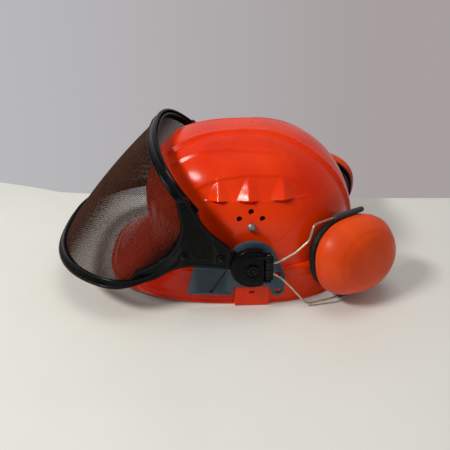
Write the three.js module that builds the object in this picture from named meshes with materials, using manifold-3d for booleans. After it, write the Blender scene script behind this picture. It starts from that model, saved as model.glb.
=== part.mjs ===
// Forestry helmet: shell with suspension, woven-mesh visor and two swing-up ear muffs.
// Millimetres. +X is the wearer's left, -Y the front, +Z up, z = 0 the plane the rim stands on.
import * as THREE from "three";
import { mergeVertices } from "three/addons/utils/BufferGeometryUtils.js";
import Module from "manifold-3d";

const wasm = await Module();
wasm.setup();

// ---- driving dimensions ----
const FRAME_SHIFT_Y = 33.334; // from the hub axis to the middle of the whole length
const WALL = 2.8; // shell wall
const DOME_H = 163.5; // crown above the rim
const DOME_Z0 = 42; // where the dome meets the gutter
const DOME_A = 102; // half width of the dome
const DOME_BF = 123.3; // dome half length, front
const DOME_BR = 116.7; // dome half length, rear
const DOME_YC = 8; // centre of the dome along Y
const DOME_N = 2.3; // fullness of the dome in plan
const PEAK_N = 3.1; // squareness of the peak's outline
const DOME_P = { front: 3.7, side: 2.66, rear: 2.1 }; // fullness of its profile
const DOME_K = { front: 0.68, side: 0.8, rear: 0.87 }; // how soon it widens below the crown
const RIM_A = 110; // half width of the rim
const RIM_BR = 122.7; // rim, rear
const RIM_BF = 174; // rim, front: the peak
const PEAK_Z = 13; // height of the peak's middle
const PEAK_DROP = 7.5; // how much lower its sides are
const HUB_Z = 55; // height of the pivot axis
const HUB_R = 20;
const PIVOT_R = 4.5;
const OUT_X = 124.2; // upright hinge on which the muff springs out
const OUT_Y = 15.6;
const SLOT_X = 114; // outer face of the side pocket
const SLOT_W = 37;
const SLOT_H = 25;
const VISOR = {
  upper: { x: 119.6, r0: 60, r1: 151, n: 2.5, a: 48.2, dip: 0 },
  lower: { x: 136, r0: 60, r1: 216.5, n: 2.6, a: -2.8, dip: 8 }, // dip: how much its sides hang
  strip: 12,
  thick: 4.2,
};
const CUP_POS = [95.5, 108, 51.5]; // middle of the cup's rim
const CUP_TURN = 28; // degrees that the cup faces rearward
const CUP_LEAN = 12; // degrees that it faces up
const CUP_W = 49; // half length, along the arm
const CUP_H = 41.5; // half width, between the sleeves
const CUP_D = 33; // depth of the bowl
const WIRE_R = 1.5;
const SLEEVE_R = 3;
const SLEEVE_L = 40;
const BAND = { a: 78, b: 88, yc: -5, ySide: 45, z0: 24, z1: 50, t: 1.8 };
const NAPE = { a: 75.2, b: 46, z0: 24, z1: 44, t: 1.6, dip: 16 };

const RAD = Math.PI / 180;
const V = (x, y, z) => new THREE.Vector3(x, y, z);
const spow = (v, p) => Math.sign(v) * Math.abs(v) ** p;
const mix = (a, b, t) => a + (b - a) * t;
const smooth = (a, b, v) => {
  const t = Math.min(1, Math.max(0, (v - a) / (b - a)));
  return t * t * (3 - 2 * t);
};

// ---- mesh helpers ----
function build(points, faces) {
  const g = new THREE.BufferGeometry();
  g.setAttribute(
    "position",
    new THREE.Float32BufferAttribute(points.flatMap((p) => [p.x, p.y, p.z]), 3),
  );
  let vol = 0;
  for (const [a, b, c] of faces)
    vol += points[a].dot(V(0, 0, 0).crossVectors(points[b], points[c]));
  g.setIndex(faces.flatMap(([a, b, c]) => (vol < 0 ? [a, c, b] : [a, b, c])));
  return g;
}
// Rings of equal length joined one after another; ends closed by a fan, or round if `closed`.
function loft(rings, { closed = false, start = null, end = null } = {}) {
  const n = rings[0].length,
    pts = rings.flat(),
    f = [];
  const m = rings.length;
  for (let i = 0; i < (closed ? m : m - 1); i++)
    for (let j = 0; j < n; j++) {
      const a = i * n + j,
        b = i * n + ((j + 1) % n),
        c = ((i + 1) % m) * n + j,
        d = ((i + 1) % m) * n + ((j + 1) % n);
      f.push([a, b, d], [a, d, c]);
    }
  if (!closed) {
    const fan = (ring, base, at, flip) => {
      const c = at || ring.reduce((s, p) => s.add(p), V(0, 0, 0)).divideScalar(n);
      pts.push(c);
      const k = pts.length - 1;
      for (let j = 0; j < n; j++) {
        const a = base + j,
          b = base + ((j + 1) % n);
        f.push(flip ? [k, b, a] : [k, a, b]);
      }
    };
    fan(rings[0], 0, start, true);
    fan(rings[m - 1], (m - 1) * n, end, false);
  }
  return build(pts, f);
}
function solid(g) {
  let h = g.index ? g.toNonIndexed() : g.clone();
  for (const k of Object.keys(h.attributes)) if (k !== "position") h.deleteAttribute(k);
  h = mergeVertices(h, 1e-4);
  return new wasm.Manifold(
    new wasm.Mesh({
      numProp: 3,
      vertProperties: h.attributes.position.array,
      triVerts: new Uint32Array(h.index.array),
    }),
  );
}
function geometry(m) {
  const q = m.getMesh(),
    v = new Float32Array(q.numVert * 3);
  for (let i = 0; i < q.numVert; i++)
    v.set(q.vertProperties.subarray(i * q.numProp, i * q.numProp + 3), i * 3);
  const g = new THREE.BufferGeometry();
  g.setAttribute("position", new THREE.BufferAttribute(v, 3));
  g.setIndex(new THREE.BufferAttribute(new Uint32Array(q.triVerts), 1));
  return g;
}
const box = (x0, x1, y0, y1, z0, z1) =>
  new THREE.BoxGeometry(x1 - x0, y1 - y0, z1 - z0).translate(
    (x0 + x1) / 2,
    (y0 + y1) / 2,
    (z0 + z1) / 2,
  );
// A cylinder along X from x0 to x1.
const rodX = (x0, x1, y, z, r, n = 16) =>
  new THREE.CylinderGeometry(r, r, x1 - x0, n)
    .rotateZ(-Math.PI / 2)
    .translate((x0 + x1) / 2, y, z);
const rodZ = (z0, z1, x, y, r, n = 16) =>
  new THREE.CylinderGeometry(r, r, z1 - z0, n)
    .rotateX(Math.PI / 2)
    .translate(x, y, (z0 + z1) / 2);
const rodY = (y0, y1, x, z, r, n = 16) =>
  new THREE.CylinderGeometry(r, r, y1 - y0, n).translate(x, (y0 + y1) / 2, z);
// A flat plate between x0 and x1 with the outline given as [y, z] pairs.
function plateX(x0, x1, outline, segs = 6) {
  const s = outline instanceof THREE.Shape ? outline : new THREE.Shape(outline.map(([y, z]) => new THREE.Vector2(y, z)));
  // shape x -> Y, shape y -> Z, extrusion -> X
  const g = new THREE.ExtrudeGeometry(s, { depth: x1 - x0, bevelEnabled: false, curveSegments: segs });
  g.applyMatrix4(new THREE.Matrix4().set(0, 0, 1, x0, 1, 0, 0, 0, 0, 1, 0, 0, 0, 0, 0, 1));
  return g;
}
// A ring of revolution around X from a closed [r, x] loop.
function latheX(loop, n = 32) {
  const pts = loop.map(([r, x]) => new THREE.Vector2(r, x));
  const rings = [];
  for (let i = 0; i < n; i++) {
    const a = (i / n) * 2 * Math.PI;
    rings.push(pts.map((p) => V(p.y, p.x * Math.cos(a), p.x * Math.sin(a))));
  }
  return loft(rings, { closed: true });
}
function tube(points, r, steps, sides = 8, tension = 0.5) {
  const path = new THREE.CatmullRomCurve3(points, false, "catmullrom", tension);
  const s = new THREE.Shape();
  for (let i = 0; i < sides; i++) {
    const a = (i / sides) * 2 * Math.PI;
    i ? s.lineTo(r * Math.cos(a), r * Math.sin(a)) : s.moveTo(r, 0);
  }
  s.closePath();
  return new THREE.ExtrudeGeometry(s, { steps, bevelEnabled: false, extrudePath: path, curveSegments: 1 });
}
const union = (...g) => g.map((q) => (q instanceof wasm.Manifold ? q : solid(q))).reduce((a, b) => a.add(b));
const cut = (a, ...g) => g.reduce((m, q) => m.subtract(q instanceof wasm.Manifold ? q : solid(q)), a instanceof wasm.Manifold ? a : solid(a));

// ---- shell ----
function plan(phi, a, bf, br, n) {
  const c = Math.cos(phi),
    s = Math.sin(phi);
  return [a * spow(c, 2 / n), DOME_YC + (s < 0 ? bf : br) * spow(s, 2 / n)];
}
// phi goes round, s from the crown (0) over the gutter (0.72) to the rim's edge (1).
function shellOuter(phi, s) {
  const cut0 = 0.72;
  if (s <= cut0) {
    const wf = smooth(0, 1, -Math.sin(phi)),
      wr = smooth(0, 1, Math.sin(phi)),
      blend = (o) => o.side + (o.front - o.side) * wf + (o.rear - o.side) * wr;
    const th = (s / cut0) * (Math.PI / 2),
      k = Math.sin(th) ** blend(DOME_K);
    const [x, y] = plan(phi, DOME_A * k, DOME_BF * k, DOME_BR * k, DOME_N);
    return V(x, y, DOME_Z0 + (DOME_H - DOME_Z0) * Math.max(0, Math.cos(th)) ** (2 / blend(DOME_P)));
  }
  const t = (s - cut0) / (1 - cut0);
  const [x0, y0] = plan(phi, DOME_A, DOME_BF, DOME_BR, DOME_N);
  const nr = mix(DOME_N, PEAK_N, smooth(0, 0.6, -Math.sin(phi)));
  const [x1, y1] = plan(phi, RIM_A, RIM_BF, RIM_BR, nr);
  const w = smooth(0.35, 0.9, -Math.sin(phi)); // 1 on the peak
  const fSide = t < 0.3 ? 0.6 * Math.sin((t / 0.3) * (Math.PI / 2)) : mix(0.6, 1, (t - 0.3) / 0.7);
  const gSide = t < 0.3 ? 0.14 * (1 - Math.cos((t / 0.3) * (Math.PI / 2))) : mix(0.14, 1, (t - 0.3) / 0.7);
  const f = mix(fSide, t, w),
    g = mix(gSide, t ** 1.15, w);
  const x = mix(x0, x1, f),
    y = mix(y0, y1, f);
  const zr = smooth(30, 130, -y1) * (PEAK_Z - PEAK_DROP * (x1 / 106) ** 2);
  return V(x, y, mix(DOME_Z0, zr, g));
}
function shellNormal(phi, s) {
  const e = 1e-3,
    a = shellOuter(phi + e, s).sub(shellOuter(phi - e, s)),
    b = shellOuter(phi, Math.min(1, s + e)).sub(shellOuter(phi, Math.max(1e-4, s - e)));
  return a.cross(b).normalize(); // points out or in, fixed below
}
function makeShell() {
  const n = 48;
  const rows = [0.1, 0.19, 0.28, 0.37, 0.46, 0.55, 0.64, 0.72, 0.762, 0.804, 0.87, 0.935, 1];
  const outer = [],
    inner = [];
  for (const s of rows) {
    const o = [],
      i = [];
    for (let j = 0; j < n; j++) {
      const phi = (j / n) * 2 * Math.PI + 1e-4,
        p = shellOuter(phi, s);
      let q = shellNormal(phi, s);
      if (q.dot(V(p.x, p.y - DOME_YC, 40)) < 0) q.negate();
      const w = smooth(0.35, 0.9, -Math.sin(phi));
      if (s > 0.72) {
        // walls of the band are offset level, the peak straight down
        const level = V(q.x, q.y, 0).normalize();
        q = level.lerp(V(0, 0, 1), w * 0.92).normalize();
      }
      const r = p.clone().addScaledVector(q, -WALL);
      if (s === 1) {
        r.z = mix(p.z, Math.max(0, p.z - WALL), w);
        if (w > 0.5) r.addScaledVector(V(-q.x, -q.y, 0), 0.5);
      }
      o.push(p);
      i.push(r);
    }
    outer.push(o);
    inner.push(i);
  }
  const rings = [...outer, ...inner.reverse()];
  let m = solid(loft(rings, { start: V(0, DOME_YC, DOME_H), end: V(0, DOME_YC, DOME_H - WALL) }));
  for (const side of [1, -1]) {
    const flip = (g) => (side > 0 ? g : mirror(g));
    // side pocket for the accessory blade, open at both ends, with a latch notch
    m = m.add(solid(flip(box(104, SLOT_X, -SLOT_W / 2, SLOT_W / 2, 0, SLOT_H))));
    m = cut(m, flip(box(108.6, 111.8, -14.2, 14.2, -1, SLOT_H + 1)), flip(box(111, SLOT_X + 1, -2.5, 2.5, 16, 19)));
    // three vent holes and the rivet's hole
    for (const [y, z, r] of [[0, 104, 3], [-12, 97, 3], [11.5, 97, 3], [0, 89.5, 2.2]])
      m = cut(m, flip(rodX(84, 112, y, z, r, 10)));
  }
  return geometry(m);
}
function mirror(g) {
  const h = g.index ? g.toNonIndexed() : g.clone();
  for (const k of Object.keys(h.attributes)) if (k !== "position") h.deleteAttribute(k);
  const p = h.attributes.position.array;
  for (let i = 0; i < p.length; i += 9) {
    for (let k = 0; k < 9; k += 3) p[i + k] = -p[i + k];
    for (let k = 0; k < 3; k++) [p[i + 3 + k], p[i + 6 + k]] = [p[i + 6 + k], p[i + 3 + k]];
  }
  return h;
}

// ---- visor ----
function branch(b, tau) {
  const c = Math.abs(Math.cos(tau)) ** (2 / b.n),
    x = mix(VISOR.upper.x, b.x, smooth(0.15, 0.6, c)) * spow(Math.sin(tau), 2 / b.n),
    r = b.r0 + (b.r1 - b.r0) * c;
  return V(x, -r * Math.cos(b.a * RAD), HUB_Z + r * Math.sin(b.a * RAD) - b.dip * Math.sin(tau) ** 2 * smooth(0.1, 0.35, c));
}
// A point of the mesh surface: tau goes from side to side, v from the upper branch to the lower.
const meshPoint = (tau, v) => branch(VISOR.upper, tau).lerp(branch(VISOR.lower, tau), v);
let MESH_OUT = 1; // makes the normal point away from the face
function meshNormal(tau, v) {
  const e = 2e-3,
    a = meshPoint(tau + e, v).sub(meshPoint(tau - e, v)),
    b = meshPoint(tau, v + e).sub(meshPoint(tau, v - e));
  return a.cross(b).normalize().multiplyScalar(MESH_OUT);
}
if (meshNormal(0, 0.5).y > 0) MESH_OUT = -1;
const TAU_END = 87 * RAD;
function taus(n, end = TAU_END) {
  const out = [];
  for (let i = 0; i <= n; i++) out.push(mix(-end, end, i / n));
  return out;
}
// A strip along one branch: `side` 0 upper, 1 lower; from w0 to w1 inwards from the edge, h0 to h1 along the outward normal.
function strip(side, w0, w1, h0, h1, n = 36, end = TAU_END) {
  const rings = taus(n, end).map((tau) => {
    const p = meshPoint(tau, side),
      q = meshPoint(tau, 0.5),
      dir = q.clone().sub(p).normalize();
    const k = meshNormal(tau, side ? 0.97 : 0.03);
    const at = (w, h) => p.clone().addScaledVector(dir, w).addScaledVector(k, h);
    return [at(w0, h0), at(w1, h0), at(w1, h1), at(w0, h1)];
  });
  return loft(rings);
}
const DELTA = [
  [-26, 50.5], [-26, 64], [-30, 70], [-38, 84], [-43, 106], [-56, 113], [-68, 102], [-78, 76],
  [-86, 58], [-82, 47], [-70, 49], [-46, 53],
];
function makeVisorFrame() {
  let m = union(strip(0, -6, 6, 1.1, VISOR.thick), strip(1, -6, 6, 1.1, VISOR.thick));
  for (const side of [1, -1]) {
    const p = plateX(120.4, 125.4, DELTA);
    m = m.add(solid(side > 0 ? p : mirror(p)));
    for (const [y, z] of [[-70, 71], [-32.5, 67]]) m = cut(m, solid(side > 0 ? rodX(118, 128, y, z, 2.1, 12) : mirror(rodX(118, 128, y, z, 2.1, 12))));
  }
  return geometry(m);
}
function makeRetainer() {
  const end = 70 * RAD;
  const s = (side) => strip(side, -4, 4, -3.6, -1.3, 32, end);
  // two short ties join the strips at the sides
  const tie = (tau) => {
    const rings = [0, 0.5, 1].map((v) => {
      const k = meshNormal(tau, v);
      const at = (dt, h) => meshPoint(tau + dt, v).addScaledVector(k, h);
      return [at(-0.035, -3.4), at(0.035, -3.4), at(0.035, -1.5), at(-0.035, -1.5)];
    });
    return loft(rings);
  };
  return geometry(union(s(0), s(1), tie(-end + 0.05), tie(end - 0.05)));
}
function makeMesh() {
  const rows = [0.005, 0.25, 0.5, 0.75, 0.995];
  const end = 71 * RAD;
  const ts = taus(32, end);
  const rings = [];
  // sheet 1 mm thick, as one grid folded round its edge
  for (const tau of ts) {
    const ring = [];
    for (const v of rows) ring.push(meshPoint(tau, v).addScaledVector(meshNormal(tau, Math.min(0.97, Math.max(0.03, v))), 0.3));
    for (const v of [...rows].reverse()) ring.push(meshPoint(tau, v).addScaledVector(meshNormal(tau, Math.min(0.97, Math.max(0.03, v))), -0.5));
    rings.push(ring);
  }
  return loft(rings);
}

// ---- cup ----
function oval(a, b, n, k, count = 24, p = 2.4) {
  const out = [];
  for (let i = 0; i < count; i++) {
    const t = (i / count) * 2 * Math.PI;
    out.push(V(a * spow(Math.cos(t), 2 / p), b * spow(Math.sin(t), 2 / p), n).multiply(V(k, k, 1)));
  }
  return out;
}
function makeBowl() {
  const o = [[0, 1], [8, 1], [16, 0.955], [23, 0.86], [28.5, 0.7], [31.6, 0.46]],
    w = 2.5;
  const outer = o.map(([n, k]) => oval(CUP_W, CUP_H, n, k));
  const inner = [[0, 1], [8, 1], [15.5, 0.955], [22, 0.86], [26.7, 0.68], [29.4, 0.4]].map(([n, k]) => oval(CUP_W - w, CUP_H - w, n, k));
  const rings = [...outer.reverse(), ...inner];
  return loft(rings, { start: V(0, 0, CUP_D), end: V(0, 0, CUP_D - w) });
}
function ringAround(section, count = 24) {
  // section: [[a, b, n]...] half widths and height of each corner
  const rings = [];
  for (let i = 0; i < count; i++) {
    const t = (i / count) * 2 * Math.PI;
    rings.push(section.map(([a, b, n]) => V(a * spow(Math.cos(t), 2 / 2.4), b * spow(Math.sin(t), 2 / 2.4), n)));
  }
  return loft(rings, { closed: true });
}
const makeCupPlate = () => ringAround([[48.5, 41, -0.4], [48.5, 41, -3.6], [31, 25, -3.6], [31, 25, -0.4]]);
const makeCushion = () =>
  ringAround([
    [44.5, 37.5, -4], [46.5, 39.5, -7], [46.5, 39.5, -12], [44, 37, -15.6], [37.5, 31.5, -16.6], [31.5, 26.5, -15],
    [29, 24, -11.5], [29, 24, -7], [31, 25.5, -4],
  ]);
function makeFoam() {
  return loft([[1.5, 0.92], [14, 0.88], [21, 0.72]].map(([n, k]) => oval(CUP_W - 4, CUP_H - 4, n, k, 20)));
}

// ---- suspension ----
// Point of the headband's centre line; p in [0,1] from the rear left end round the front to the rear right end.
function bandLine(p, inset = 0) {
  const a = BAND.a - inset,
    b = BAND.b - inset,
    side = BAND.ySide - BAND.yc,
    arc = 235,
    total = side * 2 + arc;
  const d = p * total;
  if (d < side) return [V(a, BAND.ySide - d, 0), V(1, 0, 0)];
  if (d > side + arc) return [V(-a, BAND.yc + (d - side - arc), 0), V(-1, 0, 0)];
  const t = ((d - side) / arc) * Math.PI;
  return [V(a * Math.cos(t), BAND.yc - b * Math.sin(t), 0), V(Math.cos(t) / a, -Math.sin(t) / b, 0).normalize()];
}
function bandStrip(p0, p1, n, off0, off1, z0, z1) {
  const rings = [];
  for (let i = 0; i <= n; i++) {
    const [c, k] = bandLine(mix(p0, p1, i / n));
    const at = (o, z) => c.clone().addScaledVector(k, o).setZ(z);
    rings.push([at(off0, z0), at(off1, z0), at(off1, z1), at(off0, z1)]);
  }
  return loft(rings);
}
function makeNape() {
  const rings = [];
  const add = (x, y, nx, ny, dip) => {
    const at = (o, z) => V(x + nx * o, y + ny * o, z - dip);
    rings.push([at(-NAPE.t / 2, NAPE.z0), at(NAPE.t / 2, NAPE.z0), at(NAPE.t / 2, NAPE.z1), at(-NAPE.t / 2, NAPE.z1)]);
  };
  add(NAPE.a, 12, 1, 0, 0);
  add(NAPE.a, 45, 1, 0, 0);
  for (let i = 1; i < 16; i++) {
    const t = (i / 16) * Math.PI,
      x = NAPE.a * Math.cos(t),
      y = 45 + NAPE.b * Math.sin(t);
    const k = V(Math.cos(t) / NAPE.a, Math.sin(t) / NAPE.b, 0).normalize();
    add(x, y, k.x, k.y, NAPE.dip * smooth(0.05, 0.8, Math.sin(t)));
  }
  add(-NAPE.a, 45, -1, 0, 0);
  add(-NAPE.a, 12, -1, 0, 0);
  return loft(rings);
}
// Clip lugs hang in the shell's lower edge; angle is in plan, 0 at +X, 90 at the rear.
const CLIP_ANGLES = [-38, 9, 66, 114, 171, 218];
function clipFrame(deg) {
  const phi = deg * RAD;
  const p = shellOuter(phi, 0.72),
    e = 1e-3,
    d = shellOuter(phi + e, 0.719).sub(shellOuter(phi - e, 0.719)).normalize();
  const out = V(d.y, -d.x, 0).normalize();
  if (out.dot(V(p.x, p.y - DOME_YC, 0)) < 0) out.negate();
  return { p: V(p.x, p.y, 0), out, along: V(-out.y, out.x, 0) };
}
function oriented(g, f) {
  return g.applyMatrix4(new THREE.Matrix4().makeBasis(f.out, f.along, V(0, 0, 1)).setPosition(f.p));
}
const BAND_CLEAR = solid(bandStrip(0, 1, 40, -BAND.t / 2 - 0.5, BAND.t / 2 + 0.5, BAND.z0, BAND.z1));
function makeClip(deg, arm) {
  const f = clipFrame(deg);
  // the arm reaches in until it all but touches the headband
  let reach = 12.5;
  if (arm) while (reach < 40 && solid(oriented(box(-reach - 0.5, -11, -5, 5, 28, 33), f)).intersect(BAND_CLEAR).isEmpty()) reach += 0.25;
  // local x is outwards, 0 at the shell's outer face
  const m = union(box(-12, -4.5, -8, 8, 24, 46), box(-12, 1.2, -4, 4, 12, 26), box(-reach, -11, -5, 5, 28, 33));
  return oriented(geometry(m), f);
}
// A webbing strap from one clip over the head to the opposite one.
function makeStrap(degA, degB, top) {
  const A = clipFrame(degA),
    B = clipFrame(degB);
  const a = A.p.clone().addScaledVector(A.out, -9),
    b = B.p.clone().addScaledVector(B.out, -9);
  const mid = a.clone().add(b).multiplyScalar(0.5),
    half = b.clone().sub(a).multiplyScalar(0.5);
  const dir = half.clone().normalize(),
    wide = V(-dir.y, dir.x, 0);
  const L = half.length(),
    z0 = 46.4,
    n = 20,
    w = 8,
    t = 0.7;
  const rings = [];
  for (let i = 0; i <= n; i++) {
    const q = (i / n) * Math.PI,
      x = -L * Math.cos(q),
      z = z0 + (top - z0) * Math.sin(q) ** (2 / 2.3);
    const e = 1e-3,
      q2 = Math.min(Math.PI, q + e),
      q1 = Math.max(0, q - e);
    const tx = -L * (Math.cos(q2) - Math.cos(q1)),
      tz = (top - z0) * (Math.sin(q2) ** (2 / 2.3) - Math.sin(q1) ** (2 / 2.3));
    let nx = -tz,
      nz = tx;
    const l = Math.hypot(nx, nz) || 1;
    nx /= l;
    nz /= l;
    if (i === 0 || i === n) {
      nx = i === 0 ? -1 : 1;
      nz = 0;
    }
    const at = (u, v) => mid.clone().addScaledVector(dir, x + nx * v).addScaledVector(wide, u).setZ(z + nz * v);
    rings.push([at(-w, -t), at(w, -t), at(w, t), at(-w, t)]);
  }
  return loft(rings);
}

// ---- side fittings, made for the left and mirrored for the right ----
function circlePoints(cy, cz, r, a0, a1, n) {
  const out = [];
  for (let i = 0; i <= n; i++) {
    const a = mix(a0, a1, i / n) * RAD;
    out.push([cy + r * Math.cos(a), cz + r * Math.sin(a)]);
  }
  return out;
}
function makeAdapter() {
  const x0 = 112.5,
    x1 = 115.4;
  const outline = [
    ...circlePoints(0, HUB_Z, 23.2, 0, 180, 16),
    [-24.5, 49], [-59, 50], [-69, 18], [-24, 16.5], [-19, 26], [19, 26], [21.5, 15.5], [26, 12.5], [31, 13],
    [34.5, 18], [33, 30], [31, 48],
  ];
  let m = union(plateX(x0, x1, outline), box(109.1, 115.4, -13.6, 13.6, 26.2, 31), box(109.1, 111.4, -13.6, 13.6, 3, 27));
  return geometry(cut(m, rodX(110, 118, 27, 42, 2.2, 12), rodX(110, 118, 28, 21.5, 2.2, 12)));
}
function makeHub() {
  const ring = latheX([
    [5, 119.7], [20, 119.7], [20, 126], [18.5, 127.2], [17.4, 127.2], [16.8, 126.2], [15.6, 126.2], [15, 128.4], [9, 129.2],
    [8.2, 127.6], [5, 127.6],
  ], 24).translate(0, 0, HUB_Z);
  const ears = union(box(119.7, 128.4, 4, 18.5, HUB_Z + 12.9, HUB_Z + 16), box(119.7, 128.4, 4, 18.5, HUB_Z - 16, HUB_Z - 12.9));
  let m = cut(ring, box(110, 140, 10.6, 30, HUB_Z - 30, HUB_Z + 30)).add(ears);
  return geometry(cut(m, rodZ(HUB_Z - 20, HUB_Z + 20, OUT_X, OUT_Y, 1.9, 12)));
}
const PINZ = [HUB_Z - 15.5, HUB_Z + 15.5];
function makeCarrier() {
  const m = union(rodZ(HUB_Z - 12.5, HUB_Z + 12.5, OUT_X, OUT_Y, 4.3, 20), box(119.9, 128.4, 15.6, 24, HUB_Z - 12.5, HUB_Z + 12.5));
  return geometry(cut(m, rodZ(HUB_Z - 20, HUB_Z + 20, OUT_X, OUT_Y, 1.9, 12), rodY(20.5, 30, OUT_X, HUB_Z + 6, 1.9, 8), rodY(20.5, 30, OUT_X, HUB_Z - 6, 1.9, 8)));
}
function makeVisorArm() {
  const arm = [
    [-8, HUB_Z + 12.7], [-30, 73], [-66, 79], [-76, 74], [-76, 66], [-60, 57.5], [-14, HUB_Z - 5.4],
  ];
  const m = union(rodX(116, 119.3, 0, HUB_Z, 15, 20), plateX(116, 119.3, arm));
  return geometry(cut(m, rodX(110, 125, 0, HUB_Z, 5, 20), rodX(110, 125, -70, 71, 2.1, 12), rodX(110, 125, -32.5, 67, 2.1, 12)));
}
const makePin = () =>
  geometry(union(rodX(115.8, 129.9, 0, HUB_Z, PIVOT_R, 18), rodX(129.6, 131, 0, HUB_Z, 6.4, 24)));
const rivetX = (y, z, x0, x1, x2) => geometry(union(rodX(x0, x1, y, z, 1.8, 12), rodX(x1 - 0.1, x2, y, z, 3.6, 14)));
// cup frame
const T = V(-Math.sin(CUP_TURN * RAD), Math.cos(CUP_TURN * RAD), 0);
const N = V(
  Math.cos(CUP_LEAN * RAD) * Math.cos(CUP_TURN * RAD),
  Math.cos(CUP_LEAN * RAD) * Math.sin(CUP_TURN * RAD),
  Math.sin(CUP_LEAN * RAD),
);
const U = N.clone().cross(T);
const CUP_C = V(...CUP_POS);
const cupAt = (t, u, n) => CUP_C.clone().addScaledVector(T, t).addScaledVector(U, u).addScaledVector(N, n);
const SLEEVE_U = CUP_H + 3.4,
  SLEEVE_N = -2;
function makeSleeve(sign) {
  const m = union(
    new THREE.CylinderGeometry(SLEEVE_R, SLEEVE_R, SLEEVE_L, 12).rotateZ(-Math.PI / 2).translate(0, sign * SLEEVE_U, SLEEVE_N),
    box(-5, 5, sign > 0 ? SLEEVE_U - 3.1 : -SLEEVE_U, sign > 0 ? SLEEVE_U : -SLEEVE_U + 3.1, SLEEVE_N - 2.4, SLEEVE_N + 2.4),
  );
  const bore = new THREE.CylinderGeometry(1.9, 1.9, 14, 8).rotateZ(-Math.PI / 2).translate(-SLEEVE_L / 2 + 5.9, sign * SLEEVE_U, SLEEVE_N);
  return geometry(cut(m, bore));
}
function makeWire(sign) {
  const end = cupAt(-SLEEVE_L / 2 + 10, sign * SLEEVE_U, SLEEVE_N),
    mouth = cupAt(-SLEEVE_L / 2 - 2, sign * SLEEVE_U, SLEEVE_N),
    before = cupAt(-SLEEVE_L / 2 - 8, sign * SLEEVE_U, SLEEVE_N);
  const pts =
    sign > 0
      ? [V(OUT_X, 21, HUB_Z + 6), V(OUT_X, 26, HUB_Z + 6), V(121.4, 34, 64), V(118.5, 47, 75), V(114, 58, 85), V(107, 66, 94), before, mouth, end]
      : [V(OUT_X, 21, HUB_Z - 6), V(OUT_X, 26, HUB_Z - 6), V(121.5, 34, 36), V(119.8, 47, 18), V(118.8, 57, 6), V(118.5, 63, 4.6), before, mouth, end];
  // straight runs with small bends: each corner is passed by two close points
  const path = [];
  pts.forEach((p, i) => {
    if (i === 0 || i === pts.length - 1) path.push(p);
    else
      for (const o of [i - 1, i + 1]) {
        const d = pts[o].clone().sub(p),
          l = Math.min(2.2, d.length() * 0.3);
        path.push(p.clone().addScaledVector(d.normalize(), l));
      }
  });
  return tube(path, WIRE_R, 30, 6);
}

// ---- materials ----
const mat = (color, roughness, metalness = 0) => new THREE.MeshStandardMaterial({ color, roughness, metalness });
const M = {
  shell: mat(0xe03a1e, 0.32),
  cup: mat(0xdc5a2c, 0.42),
  black: mat(0x16181a, 0.45),
  soft: mat(0x1b1c1e, 0.8),
  blue: mat(0x3f4c58, 0.55),
  sleeve: mat(0x3a4148, 0.6),
  steel: mat(0xb9b6ae, 0.32, 0.9),
  rivet: mat(0x9a9c9d, 0.4, 0.9),
  mesh: mat(0x3a2d26, 0.5, 0.5),
  band: mat(0x202326, 0.5),
  webbing: mat(0x2b2f33, 0.9),
  foam: mat(0x3c3d3f, 0.95),
};
const root = new THREE.Group();
const frame = new THREE.Group();
frame.position.set(0, FRAME_SHIFT_Y, 0);
root.add(frame);
const left = new THREE.Group(),
  right = new THREE.Group();
right.scale.x = -1;
frame.add(left, right);
const piece = (name, geo, material, parent = frame) => {
  const m = new THREE.Mesh(geo, material.clone());
  m.name = name;
  parent.add(m);
  return m;
};

piece("shell", makeShell(), M.shell);
piece("headband", bandStrip(0, 1, 40, -BAND.t / 2, BAND.t / 2, BAND.z0, BAND.z1), M.band);
piece("sweatband", bandStrip(0.22, 0.78, 22, -BAND.t / 2 - 4, -BAND.t / 2 - 0.4, BAND.z0 - 1, BAND.z1 + 1), M.soft);
piece("nape_band", makeNape(), M.band);
const NAPE_Y = 45 + NAPE.b + NAPE.t / 2;
piece("ratchet_housing", geometry(cut(box(-27, 27, NAPE_Y + 0.4, NAPE_Y + 8, 6, 30), rodY(NAPE_Y + 6, NAPE_Y + 20, 0, 18, 3.4, 16))), M.band);
piece("ratchet_knob", geometry(union(rodY(NAPE_Y + 8.4, NAPE_Y + 16, 0, 18, 12, 24), rodY(NAPE_Y + 6.4, NAPE_Y + 9, 0, 18, 3, 12))), M.band);
CLIP_ANGLES.forEach((a, i) => piece("harness_clip_" + (i + 1), makeClip(a, i < 2 || i > 3), M.band));
piece("crown_strap_a", makeStrap(CLIP_ANGLES[0], CLIP_ANGLES[3], 119), M.webbing);
piece("crown_strap_b", makeStrap(CLIP_ANGLES[1], CLIP_ANGLES[4], 129), M.webbing);
piece("crown_strap_c", makeStrap(CLIP_ANGLES[5], CLIP_ANGLES[2], 124), M.webbing);

piece("visor_frame", makeVisorFrame(), M.black);
piece("visor_retainer", makeRetainer(), M.black);
piece("visor_mesh", makeMesh(), M.mesh);

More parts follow.
